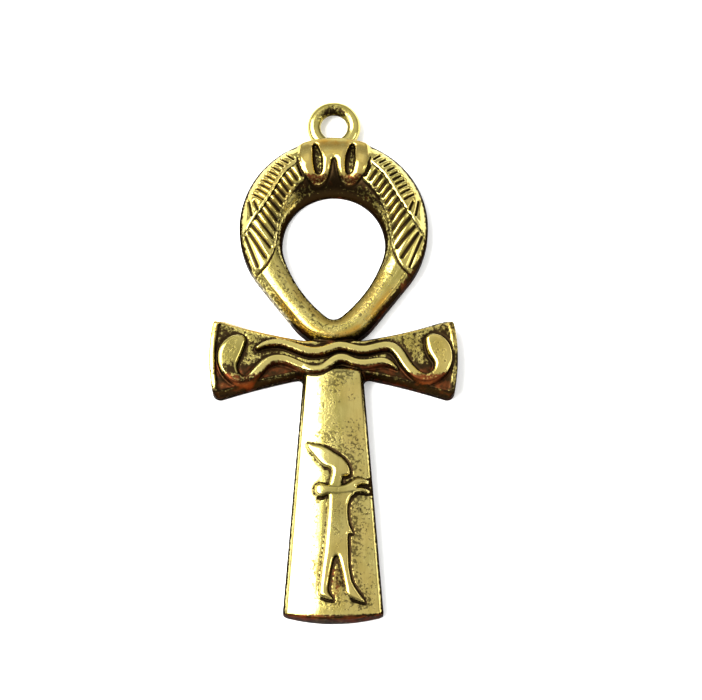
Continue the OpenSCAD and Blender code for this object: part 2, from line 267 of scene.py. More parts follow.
@dataclass
class Relief:
    """The casting's face as a height field on an even grid, with the marks that its finish reads."""

    low: Spot
    high: Spot
    pitch: float = 0.11
    seed: int = 11
    skirt: float = 0.7  # how far past its outline a form's own slope falls away
    seam: float = 0.15  # width over which two forms' heights run together
    softness: float = 0.5  # blur of the finished casting, in cells
    x: Array = field(init=False)
    y: Array = field(init=False)
    height: Array = field(init=False)
    inside: Array = field(init=False)
    marks: dict[Mark, Array] = field(init=False)
    # Where no dip settles in hollows: bare metal, and places kept light as painted highlights.
    bare_and_lit: Array = field(init=False)

    # Fine and broad unevenness of the casting. Columns: hill size, height, seed.
    HILLS = ((1.3, 0.020, 1), (3.6, 0.030, 2))
    # How narrow and wide hollows take the dip. Columns: cells of blur, strength.
    HOLLOWS = ((2.0, 4.5), (5.0, 2.2))

    def __post_init__(self) -> None:
        """Lays out the empty grid."""
        xs = np.arange(self.low[0], self.high[0] + self.pitch / 2, self.pitch)
        ys = np.arange(self.low[1], self.high[1] + self.pitch / 2, self.pitch)
        self.x, self.y = np.meshgrid(xs, ys)
        self.height = np.full(self.x.shape, OUTSIDE)
        self.inside = np.full(self.x.shape, OUTSIDE)
        self.marks = {mark: np.zeros(self.x.shape) for mark in Mark}
        self.marks[Mark.BARB_OFF] += FAR
        self.bare_and_lit = np.zeros(self.x.shape)

    def window(self, low: Spot, high: Spot) -> tuple[slice, slice]:
        """Finds the part of the grid that covers a rectangle.

        Args:
            low: the rectangle's lowest corner.
            high: its highest corner.

        Returns:
            The part's rows and columns.
        """
        ends = [[int(np.clip((v[axis] - self.low[axis]) / self.pitch, 0, self.x.shape[1 - axis]))
                 for v in (low, high)] for axis in (1, 0)]
        return tuple(slice(start, end + 1) for start, end in ends)

    def views(self, part: tuple[slice, slice]) -> dict[Mark, Array]:
        """Returns every mark's values in a part of the grid, to be changed in place."""
        return {mark: values[part] for mark, values in self.marks.items()}

    def join(self, part: tuple[slice, slice], inside: Array, height: Array, fillet: float) -> None:
        """Joins a solid form to the casting.

        Args:
            part: the part of the grid that the form covers.
            inside: how far each point lies inside the form's outline.
            height: the form's height at each point.
            fillet: the width over which its outline is rounded into its neighbours'.
        """
        self.inside[part] = soft_max(self.inside[part], inside, fillet)
        shown = np.where(inside > -self.skirt, height + OUTSIDE * np.clip(-inside, 0.0, None), OUTSIDE)
        self.height[part] = soft_max(self.height[part], shown, self.seam)

    def stain(self, mark: Mark, x: float, y: float, rx: float, ry: float, amount: float) -> None:
        """Adds a soft oval patch of a mark, by its centre, half sizes and strength."""
        self.marks[mark] += amount * np.exp(-((self.x - x) / rx) ** 2 - ((self.y - y) / ry) ** 2)

    def waver(self, size: float, seed: int) -> Array:
        """Draws smooth unevenness between about -1 and 1.

        Args:
            size: how wide its hills are.
            seed: which draw it is.

        Returns:
            The unevenness at each point of the grid.
        """
        rng = np.random.default_rng(self.seed + seed)
        shape = [int(n * self.pitch / size) + 4 for n in self.x.shape]
        coarse = rng.normal(0.0, 0.5, shape)
        rows = np.linspace(1, shape[0] - 3, self.x.shape[0])
        cols = np.linspace(1, shape[1] - 3, self.x.shape[1])
        i, u = rows.astype(int), smooth_step(rows % 1.0)
        j, v = cols.astype(int), smooth_step(cols % 1.0)
        top = coarse[i][:, j] * (1 - v) + coarse[i][:, j + 1] * v
        low = coarse[i + 1][:, j] * (1 - v) + coarse[i + 1][:, j + 1] * v
        return top * (1 - u[:, None]) + low * u[:, None]

    def settle(self) -> None:
        """Softens the pressed forms as casting and plating do, and finds hollows and rubbed heights."""
        self.height = blurred(np.maximum(self.height, 0.0), self.softness)
        body = (self.inside > 0).astype(float)
        self.height += sum(amount * self.waver(size, seed) for size, amount, seed in self.HILLS) * body
        covered = 1.0 - np.clip(self.bare_and_lit, 0.0, 1.0)
        for sigma, gain in self.HOLLOWS:
            weight = np.maximum(blurred(body, sigma), 1e-3)
            hollow = blurred(self.height * body, sigma) / weight - self.height
            self.marks[Mark.PATINA_AND_SHADE] += gain * np.clip(hollow - 0.02, 0.0, None) * covered
            self.marks[Mark.POLISH_AND_HIGHLIGHT] += gain * np.clip(-hollow - 0.015, 0.0, None)
        for mark in (Mark.PATINA_AND_SHADE, Mark.RUST_AND_SHADE, Mark.SPECKLE, Mark.POLISH_AND_HIGHLIGHT, Mark.WARM, Mark.PAINTED_SHADE):
            self.marks[mark] = np.clip(self.marks[mark], 0.0, 1.0)

    def sample(self, values: Array, points: Array) -> Array:
        """Reads a grid of values at points between its nodes.

        Args:
            values: the grid.
            points: the points, one row each.

        Returns:
            The value at each point.
        """
        u = np.clip((points[:, 0] - self.low[0]) / self.pitch, 0, self.x.shape[1] - 1.001)
        v = np.clip((points[:, 1] - self.low[1]) / self.pitch, 0, self.x.shape[0] - 1.001)
        i, j = v.astype(int), u.astype(int)
        fu, fv = u - j, v - i
        return ((values[i, j] * (1 - fu) + values[i, j + 1] * fu) * (1 - fv)
                + (values[i + 1, j] * (1 - fu) + values[i + 1, j + 1] * fu) * fv)


@dataclass
class LoopBand:
    """The teardrop loop: a rounded band between two outlines of tangent arcs."""

    outer_r: float = 11.4
    outer_y: float = 16.5
    hole_r: float = 6.2
    hole_y: float = 14.6
    hole_side_r: float = 16.0
    hole_tip_r: float = 1.4
    side_from: float = -20.0
    flank_angle: float = 38.0
    foot_r: float = 6.0
    side_h: float = 0.7
    outer_h: float = 1.35
    top_h: float = 3.8
    low_h: float = 3.35
    inner_drop: float = 0.70
    outer_drop: float = 0.70
    bevel_drop: float = 0.42
    bevel_from: float = 0.80
    tip_drop: float = 0.60
    fillet: float = 0.5
    path_points: int = 60
    grain_len: float = 40.0
    grain_gap: float = 60.0  # parts the left limb's rubbing marks from the right one's
    grain_w: float = 5.0

    # Columns: mark, centre, half sizes, strength.
    PATCHES = (
        # The first two rows are a painted highlight on the left inner flank.
        (Mark.PATINA_AND_SHADE, -5.4, 19.9, 1.0, 1.3, -0.50), (Mark.WARM, -5.4, 19.9, 0.9, 1.2, 0.50),
        (Mark.PATINA_AND_SHADE, 0.0, 2.15, 4.6, 0.45, 0.75), (Mark.PATINA_AND_SHADE, 4.6, 2.5, 0.9, 0.7, 0.6),
        (Mark.PATINA_AND_SHADE, -4.6, 2.5, 0.9, 0.7, 0.6),
    )

    def hole_side(self) -> Array:
        """Draws the opening's right-hand edge.

        Returns:
            Its points from top to bottom.
        """
        a = math.radians(self.side_from)
        reach = self.hole_side_r - self.hole_r
        side = (-reach * math.cos(a), self.hole_y - reach * math.sin(a))
        tip_y = side[1] - math.sqrt((self.hole_side_r - self.hole_tip_r) ** 2 - side[0] ** 2)
        side_to = math.degrees(math.atan2(tip_y - side[1], -side[0]))
        edge = np.concatenate([
            arc((0.0, self.hole_y), self.hole_r, 90.0, self.side_from),
            arc(side, self.hole_side_r, self.side_from, side_to)[1:],
            arc((0.0, tip_y), self.hole_tip_r, side_to, -90.0, 16)[1:],
        ])
        edge[:, 1] -= self.tip_drop * self.lowness(edge[:, 1])
        return edge

    def rim_side(self) -> Array:
        """Draws the band's right-hand outer edge.

        Returns:
            Its points from top to bottom.
        """
        n = (math.cos(math.radians(self.flank_angle)), -math.sin(math.radians(self.flank_angle)))
        foot_y = (self.foot_r - self.outer_r - self.outer_y * n[1]) / -n[1]
        return np.concatenate([
            arc((0.0, self.outer_y), self.outer_r, 90.0, -self.flank_angle, 96),
            arc((0.0, foot_y), self.foot_r, -self.flank_angle, -90.0, 24),
        ])

    def lowness(self, y: Array) -> Array:
        """Returns how far the band has turned from its steep upper section (0) to its flat lower one (1)."""
        return smooth_step((18.0 - y) / 9.0)

    def section(self, share: Array, y: Array) -> Array:
        """Works out the band's height: a full round at the top, a low dome with a bevel further down.

        Args:
            share: the points' share of the way across the band from the opening.
            y: their place along the pendant.

        Returns:
            The height at each point.
        """
        off = np.abs(2.0 * share - 1.0)
        rest = self.side_h + (self.outer_h - self.side_h) * smooth_step((share - 0.5) / 0.2)
        steep = rest + (self.top_h - rest) * np.clip(1.0 - off ** 2.1, 0.0, 1.0) ** 0.62
        drop = np.where(share < 0.5, self.inner_drop, self.outer_drop)
        bevel = np.clip((share - self.bevel_from) / (1.0 - self.bevel_from), 0.0, 1.0)
        flat = self.low_h - drop * off ** 2.2 - self.bevel_drop * bevel
        low = self.lowness(y)
        return steep * (1.0 - low) + flat * low

    def across(self, x: Array, y: Array) -> tuple[Array, Array]:
        """Measures points against the band.

        Args:
            x: the points' first coordinates.
            y: the points' second coordinates.

        Returns:
            How far they lie inside it, and their share of the way across it from the opening.
        """
        inner = -signed_distance(x, y, mirrored(self.hole_side()))
        outer = signed_distance(x, y, mirrored(self.rim_side()))
        from_hole, from_rim = np.clip(inner, 0, None), np.clip(outer, 0, None)
        return np.minimum(inner, outer), from_hole / np.maximum(from_hole + from_rim, 1e-6)

    def press(self, relief: Relief) -> None:
        """Presses the band into the relief.

        Args:
            relief: the casting's relief.
        """
        part = relief.window((-12.5, 1.0), (12.5, 28.6))
        x, y = relief.x[part], relief.y[part]
        inside, share = self.across(x, y)
        relief.join(part, inside, self.section(share, y), self.fillet)
        low, high = smooth_step((13.0 - y) / 3.0), smooth_step((y - 15.5) / 6.0)
        on = (inside > -MARGIN).astype(float)
        marks = relief.views(part)
        # Under the wings the steep flank by the opening stays dark, red-brown at the top.
        under = smooth_step((0.12 + 0.26 * high - share) / 0.14) * high * on
        marks[Mark.PATINA_AND_SHADE] += 0.76 * under
        relief.bare_and_lit[part] += 0.8 * under
        top = smooth_step((0.26 - share) / 0.12) * smooth_step((y - 19.0) / 1.5)
        marks[Mark.RUST_AND_SHADE] += 0.22 * top * on
        by_hole = smooth_step((0.36 - share) / 0.2) * smooth_step((y - 10.5) / 4.0)
        marks[Mark.SPECKLE] += 0.8 * by_hole * on
        marks[Mark.PATINA_AND_SHADE] += 1.0 * smooth_step((0.045 - share) / 0.02) * on
        # The lower limbs have a dark outer flank, which a painted highlight keeps bright on the left, and a
        # speckled streak.
        flank = smooth_step((share - 0.81) / 0.07) * low
        streak = bell(share - 0.42, 0.14) * low
        lit_left = smooth_step(-x / 0.5) * smooth_step((y - 2.4) / 2.6)
        edge = smooth_step((share - 0.96) / 0.03) + 0.9 * lit_left * smooth_step((share - 0.975) / 0.02)
        marks[Mark.SPECKLE] += (0.75 * flank + 0.50 * streak + 0.25 * low) * on
        marks[Mark.PATINA_AND_SHADE] += (0.34 * flank * (1.0 - 0.9 * lit_left) + 0.06 * streak) * on
        marks[Mark.PATINA_AND_SHADE] += 0.3 * edge * (1.0 - 0.6 * lit_left) * on
        marks[Mark.RUST_AND_SHADE] += 0.45 * flank * (1.0 - 0.7 * lit_left) * on
        relief.bare_and_lit[part] += 0.9 * flank * lit_left * on
        marks[Mark.WARM] += 0.8 * bell(share - 0.75, 0.13) * smooth_step((9.5 - y) / 3.0) * on
        marks[Mark.WARM] += 0.35 * bell(share - 0.20, 0.12) * low * on
        # The rubbing marks follow the band.
        middle = sum(evenly(side, self.path_points) for side in (self.hole_side(), self.rim_side())) / 2
        _, along = line_reach(np.abs(x), y, middle)
        run = along * self.grain_len + self.grain_gap * (x > 0)
        for mark, values in ((Mark.GRAIN_U, run), (Mark.GRAIN_V, share * self.grain_w)):
            marks[mark][...] = np.where(on > 0, values, marks[mark])
        for patch in self.PATCHES:
            relief.stain(*patch)


@dataclass
class Wing:
    """One of the two wings that fold round the loop: long inner feathers and short outer ones.

    The right wing is drawn and the left one is its mirror image. Places are x and y from the crossing.
    """

    lift: float = 0.18
    step_w: float = 0.14
    vein_h: float = 0.13
    vein_w: float = 0.17
    line_h: float = 0.10
    border_w: float = 0.22

    # The raised vein between the two rows of feathers.
    VEIN = np.array([
        [4.59, 24.46], [5.33, 23.78], [6.08, 23.02], [6.65, 22.16], [7.23, 21.15], [7.69, 20.28],
        [8.20, 19.45], [8.71, 18.70], [9.25, 17.90], [9.90, 16.95], [10.74, 15.75],
    ])
    # The wing's inner border, from the clasp down to where it turns.
    BORDER = np.array([
        [3.40, 22.30], [3.72, 21.82], [4.52, 21.02], [5.38, 19.93], [6.08, 18.66], [6.52, 17.43],
        [6.80, 15.72], [6.98, 14.08], [7.30, 12.75],
    ])
    # Its lower end, from there to the outer edge.
    END = np.array([[7.30, 12.75], [7.90, 11.50], [8.50, 10.72], [9.20, 10.22], [9.80, 9.95], [11.5, 9.60]])
    # The grooves between the inner feathers: vein end, then inner end.
    INNER = np.array([
        [4.30, 23.85, 3.72, 22.45], [5.15, 23.15, 4.32, 21.92], [5.82, 22.50, 4.88, 21.22],
        [6.33, 21.75, 5.40, 20.48], [6.79, 21.03, 5.78, 19.86], [7.20, 20.26, 6.12, 19.02],
        [7.66, 19.40, 6.46, 18.08], [8.13, 18.66, 6.76, 16.95], [8.62, 17.95, 6.95, 15.76],
        [9.18, 17.12, 7.20, 14.66], [9.78, 16.15, 7.46, 13.35], [10.18, 15.35, 8.08, 12.05],
        [10.62, 14.95, 9.05, 10.95],
    ])
    # The grooves between the outer feathers: outer end, then vein end.
    OUTER = np.array([
        [5.60, 25.36, 4.86, 24.68], [6.28, 24.84, 5.56, 24.24], [6.86, 24.38, 6.14, 23.78],
        [7.32, 23.80, 6.52, 23.16], [7.70, 23.20, 6.84, 22.55], [8.10, 22.66, 7.18, 21.96],
        [8.50, 22.10, 7.48, 21.42], [8.86, 21.54, 7.80, 20.82], [9.18, 20.96, 8.10, 20.16],
        [9.66, 20.34, 8.56, 19.50], [9.56, 19.30, 9.14, 18.18], [10.25, 19.50, 9.90, 17.50],
    ])
    # The turn round the outside of the band, and back along the clasp's edge.
    AROUND = np.array([
        [14.0, 10.0], [14.0, 22.0], [9.0, 29.5], [4.6, 29.5], [4.46, 25.9], [4.18, 24.55], [3.84, 23.45],
        [3.48, 22.75],
    ])

    def outline(self) -> Array:
        """Returns the wing's outline: its inner border, its end, and the turn outside the band."""
        drawn = [smooth_table(self.BORDER, 6), smooth_table(self.END, 6)[1:], self.AROUND]
        return np.concatenate(drawn)

    def mark_grooves(self, marks: dict[Mark, Array], x: Array, y: Array) -> None:
        """Marks how far each point lies from the grooves between the feathers.

        Args:
            marks: the marks in the wing's part of the grid.
            x: the points' distance from the centre line.
            y: the points' second coordinates.
        """
        for row, table in enumerate((self.INNER, self.OUTER)):
            for line in table:
                ends = line.reshape(2, 2).copy()
                way = ends[0] - ends[1]
                ends[1] += way * (self.border_w / np.hypot(*way) * (row == 0))
                off, _ = line_reach(x, y, ends)
                nearer = off < marks[Mark.BARB_OFF]
                for mark, values in ((Mark.BARB_OFF, off), (Mark.BARB_ROW, row)):
                    marks[mark][...] = np.where(nearer, values, marks[mark])

    def press(self, relief: Relief) -> None:
        """Presses both wings into the relief and marks where their grooves run.

        Args:
            relief: the casting's relief.
        """
        part = relief.window((-12.4, 8.6), (12.4, 28.4))
        x, y = np.abs(relief.x[part]), relief.y[part]
        marks = relief.views(part)
        deep = signed_distance(x, y, self.outline())
        layer = smooth_step((deep + 0.02) / self.step_w)
        relief.height[part] += self.lift * layer
        off_vein, _ = line_reach(x, y, smooth_table(self.VEIN, 4))
        relief.height[part] += self.vein_h * bell(off_vein, self.vein_w)
        # Fine dark lines: painted shade beside the vein on its inner side, and dip along the border and at
        # the wing's lower end.
        below = np.concatenate([self.VEIN, [[11.5, 14.0], [0.0, 10.0], [0.0, 24.5]]])
        inner_side = signed_distance(x, y, below) > 0
        seam = bell(off_vein - 0.30, 0.10) * inner_side
        border = bell(deep + 0.06, 0.10) * (relief.inside[part] > 0.1)
        end = border * smooth_step((14.0 - y) / 1.0)
        relief.height[part] -= self.line_h * (seam + 0.5 * border + 1.2 * end)
        marks[Mark.PATINA_AND_SHADE] += 0.75 * seam + 0.35 * border + 0.7 * end
        marks[Mark.RUST_AND_SHADE] += 0.35 * end
        self.mark_grooves(marks, x, y)
        feathered = smooth_step((y - 13.5) / 1.5) * smooth_step((0.55 - marks[Mark.BARB_OFF]) / 0.3)
        marks[Mark.PATINA_AND_SHADE] += 0.10 * feathered * inner_side
        marks[Mark.POLISH_AND_HIGHLIGHT] += 0.25 * layer


@dataclass
class Clasp:
    """The lobed clasp over the loop's top: two lobes, a notch between them, and a deep slot in each."""

    lift: float = 0.43
    edge_w: float = 0.75
    slot_depth: float = 0.60
    bevel_h: float = 0.15
    bevel_w: float = 0.42
    shoulder_h: float = 2.85
    shoulder_drop: float = 1.40
    shoulder_w: float = 0.35
    shoulder_seam: float = 0.45

    # Half of the clasp's lower edge, from the notch's top round the right lobe: x and y from the crossing.
    EDGE = np.array([
        [0.00, 24.74], [0.20, 24.58], [0.34, 24.05], [0.44, 23.30], [0.66, 22.55], [1.08, 21.92],
        [1.62, 21.60], [2.15, 21.54], [2.70, 21.72], [3.16, 22.15], [3.56, 22.72], [3.92, 23.45],
        [4.26, 24.60], [4.52, 25.95],
    ])
    # The slot in the right lobe from top to bottom: x, y, radius.
    SLOT = np.array([
        [2.26, 26.45, 0.36], [2.10, 25.5, 0.53], [1.97, 24.5, 0.62], [1.89, 23.6, 0.56], [1.85, 23.15, 0.47],
    ])

    def press(self, relief: Relief) -> None:
        """Presses the clasp into the relief.

        Args:
            relief: the casting's relief.
        """
        part = relief.window((-5.4, 20.2), (5.4, 28.4))
        x, y = np.abs(relief.x[part]), relief.y[part]
        inside = relief.inside[part]
        half = np.concatenate([smooth_table(self.EDGE, 5), [[4.7, 29.5]]])
        deep = signed_distance(x, y, np.concatenate([half, half[::-1] * [-1.0, 1.0]]))
        slot = np.min([np.hypot(x - bx, y - by) - r for bx, by, r in smooth_table(self.SLOT, 8)], axis=0)
        cut = smooth_step((0.02 - slot) / 0.16)
        bevel = np.clip((self.bevel_w - slot) / self.bevel_w, 0.0, 1.0) * smooth_step((27.0 - y) / 0.6)
        # A shoulder fills the band's outer edge behind the lobes.
        rise = (deep + 0.05) / self.edge_w
        plate = self.shoulder_h - self.shoulder_drop * (1.0 - rounded(inside / self.shoulder_w))
        high = smooth_step((y - 24.6) / 1.4) * np.clip(rise, 0.0, 1.0)
        height = relief.height[part]
        height += high * (soft_max(height, plate, self.shoulder_seam) - height)
        outside = bell(deep + 0.12, 0.14) * smooth_step((25.6 - y) / 1.0)
        lobe = rounded(rise) * (0.3 + 0.7 * smooth_step(inside / 0.4))
        height += (self.lift - self.bevel_h * bevel) * lobe
        height -= self.slot_depth * cut + 0.10 * outside
        marks = relief.views(part)
        wipe(marks, 0.97 * smooth_step((deep - 0.02) / 0.14))
        # Dip stays in the slots, the notch and the outline, and red under the lobes. Along the crown, painted
        # shade with a warm tone dulls the edge.
        notch = smooth_step((0.75 - x) / 0.4) * smooth_step((24.7 - y) / 0.5) * smooth_step(-deep / 0.08)
        foot = smooth_step((23.05 - y) / 0.7) * smooth_step(deep / 0.12)
        crown = smooth_step((0.36 - inside) / 0.22) * smooth_step(deep / 0.1)
        # A painted highlight lightens the right half of each slot's floor against the darker left half.
        middle = np.sign(relief.x[part]) * (1.85 + 0.124 * (y - 23.15))
        floor = smooth_step((-0.08 - slot) / 0.10) * smooth_step((relief.x[part] - middle + 0.20) / 0.14)
        marks[Mark.PATINA_AND_SHADE] += cut * (1.0 - 0.36 * floor) + 0.75 * outside + 1.0 * notch + 0.45 * crown
        marks[Mark.PATINA_AND_SHADE] += 0.66 * foot * smooth_step((deep - 0.08) / 0.12)
        marks[Mark.RUST_AND_SHADE] += 0.78 * foot
        marks[Mark.SPECKLE] += 0.7 * floor * cut + 0.5 * foot
        marks[Mark.WARM] += 0.25 * smooth_step(deep / 0.2) * (1.0 - cut) + 0.6 * crown
        relief.bare_and_lit[part] += floor * cut
        marks[Mark.BARB_OFF] += FAR * smooth_step((deep + 0.10) / 0.12)
        upper = smooth_step(deep / 0.1) * smooth_step((y - 22.4) / 0.6)
        # A painted highlight brightens the lips round the slots.
        marks[Mark.POLISH_AND_HIGHLIGHT] += (0.9 * bevel + 0.45 * upper) * (1.0 - cut)
        relief.stain(Mark.WARM, 0.0, 27.0, 2.2, 0.55, 0.7)


@dataclass
class Arms:
    """The flared cross arms: a plate with rounded long edges and a raised rim at each bowed end."""

    half: float = 14.85
    end_half: float = 4.78
    root_half: float = 2.2
    root_x: float = 3.65
    bow: float = 0.38
    sag: float = 0.14
    corner_r: float = 0.95
    face_h: float = 2.72
    rim_h: float = 0.30
    rim_w: float = 0.62
    rim_fall: float = 0.24
    side_h: float = 1.5
    edge_w: float = 0.42
    sunk: float = 0.12
    fillet: float = 0.5

    # Columns: mark, centre, half sizes, strength.
    PATCHES = (
        (Mark.PATINA_AND_SHADE, -13.1, 3.1, 1.1, 0.7, 0.30), (Mark.SPECKLE, -13.1, 3.1, 1.2, 0.8, 0.40),
        (Mark.PATINA_AND_SHADE, 13.1, 3.1, 1.1, 0.7, 0.30), (Mark.SPECKLE, 13.1, 3.1, 1.2, 0.8, 0.40),
    )

    def bowed(self, y: Array) -> Array:
        """Returns how far the bowed end stands back from its middle."""
        return self.bow * (y / (self.end_half - self.corner_r)) ** 2

    def outline(self) -> Array:
        """Draws the arms' outline.

        Returns:
            Its corners, one row each.
        """
        r = self.corner_r
        cx, cy = self.half - self.bow - r, self.end_half - r
        slope = math.degrees(math.atan2(cy + r - self.root_half, cx - self.root_x))
        corner = arc((cx, cy), r, 8.0, 90.0 + slope, 12)
        t = np.linspace(0.0, 1.0, 13)[1:, None]
        edge = corner[-1] * (1 - t) + np.array([self.root_x, self.root_half]) * t
        edge[:, 1] -= (4.0 * self.sag * t * (1 - t))[:, 0]
        y = np.linspace(0.0, corner[0, 1], 10)[:-1]
        end = np.stack([self.half - (self.half - corner[0, 0]) * (y / corner[0, 1]) ** 2, y], axis=1)
        quarter = np.concatenate([end, corner, edge, [[0.0, self.root_half]]])
        upper = np.concatenate([quarter, quarter[-2::-1] * [-1.0, 1.0]])
        return np.concatenate([upper, upper[-2:0:-1] * [1.0, -1.0]])

    def press(self, relief: Relief) -> None:
        """Presses the arms into the relief.

        Args:
            relief: the casting's relief.
        """
        part = relief.window((-15.2, -5.6), (15.2, 5.6))
        x, y = relief.x[part], relief.y[part]
        inside = signed_distance(x, y, self.outline())
        from_end = self.half - np.abs(x) - self.bowed(y)
        t = np.clip((np.abs(x) - self.root_x) / (self.half - self.bow - self.root_x), 0.0, 1.0)
        edge_y = self.root_half + (self.end_half - self.root_half) * t - 4.0 * self.sag * t * (1.0 - t)
        edge = 0.97 * (edge_y - np.abs(y)) / self.edge_w
        plate = self.side_h + (self.face_h - self.side_h) * rounded(edge)
        at_end, right = smooth_step((1.9 - from_end) / 0.7), smooth_step(x / 4.0)
        at_end = at_end * (1.0 - 0.7 * smooth_step((-3.3 - y) / 0.6))
        rim = smooth_step((self.rim_w + 0.16 - inside) / 0.18) * at_end
        fall = self.rim_fall * np.clip(1.0 - inside / self.rim_w, 0.0, 1.0) * at_end
        sunk = self.sunk * smooth_step((inside - 0.48) / 0.16)
        height = plate + self.rim_h * (1.0 - 0.85 * right) * rim - fall - sunk
        relief.join(part, inside, height, self.fillet)
        on = (inside > -MARGIN).astype(float)
        marks = relief.views(part)
        # The sunken field is dark and red low down, and lighter between the two cobras.
        ground = on * (1.0 - rim) * smooth_step((inside - 0.50) / 0.22)
        low = smooth_step((-0.6 - y) / 0.9)
        between = smooth_step((1.3 - y) / 0.5) * (1.0 - low) * smooth_step((7.0 - np.abs(x)) / 1.0)
        marks[Mark.PATINA_AND_SHADE] += ground * (0.43 + 0.46 * low - 0.06 * between + 0.05 * right * (1.0 - low))
        relief.bare_and_lit[part] += ground * (0.92 * between + 0.25 * (1.0 - low) * (1.0 - between))
        by_rim = on * at_end * bell(inside - self.rim_w - 0.12, 0.16)
        marks[Mark.PATINA_AND_SHADE] += (0.15 + 0.30 * low) * by_rim
        marks[Mark.RUST_AND_SHADE] += ground * low * 0.60
        marks[Mark.SPECKLE] += ground * 0.70
        # The lower edge is dark. A painted highlight makes the upper edge bright and warm on the left; on the
        # right it stays speckled.
        lower = smooth_step((0.80 - inside) / 0.25) * smooth_step((-1.0 - y) / 1.0) * on
        marks[Mark.PATINA_AND_SHADE] += 0.66 * lower * (1.0 - 0.6 * rim * smooth_step((y + 4.4) / 0.8))
        marks[Mark.RUST_AND_SHADE] += 0.30 * lower
        marks[Mark.SPECKLE] += 0.5 * lower
        upper = smooth_step((0.66 - inside) / 0.14) * smooth_step((y - 1.2) / 1.0) * on
        marks[Mark.WARM] += upper * (0.7 - 0.4 * right)
        marks[Mark.POLISH_AND_HIGHLIGHT] += 0.6 * upper * (1.0 - right)
        marks[Mark.SPECKLE] += upper * (0.10 + 0.60 * right)
        marks[Mark.PATINA_AND_SHADE] -= 0.20 * upper * (1.0 - right)
        relief.bare_and_lit[part] += upper * (1.0 - 0.5 * right)
        # The end rims are dull in the corners; a painted highlight makes the left rim bright in its middle,
        # and painted shade dulls the right one.
        corners = smooth_step((np.abs(y) - 3.1) / 0.8)
        marks[Mark.PATINA_AND_SHADE] += (0.30 * corners + 0.15 * right) * rim * on
        marks[Mark.POLISH_AND_HIGHLIGHT] += 0.9 * rim * on * smooth_step((2.0 - x) / 4.0)
        for patch in self.PATCHES:
            relief.stain(*patch)


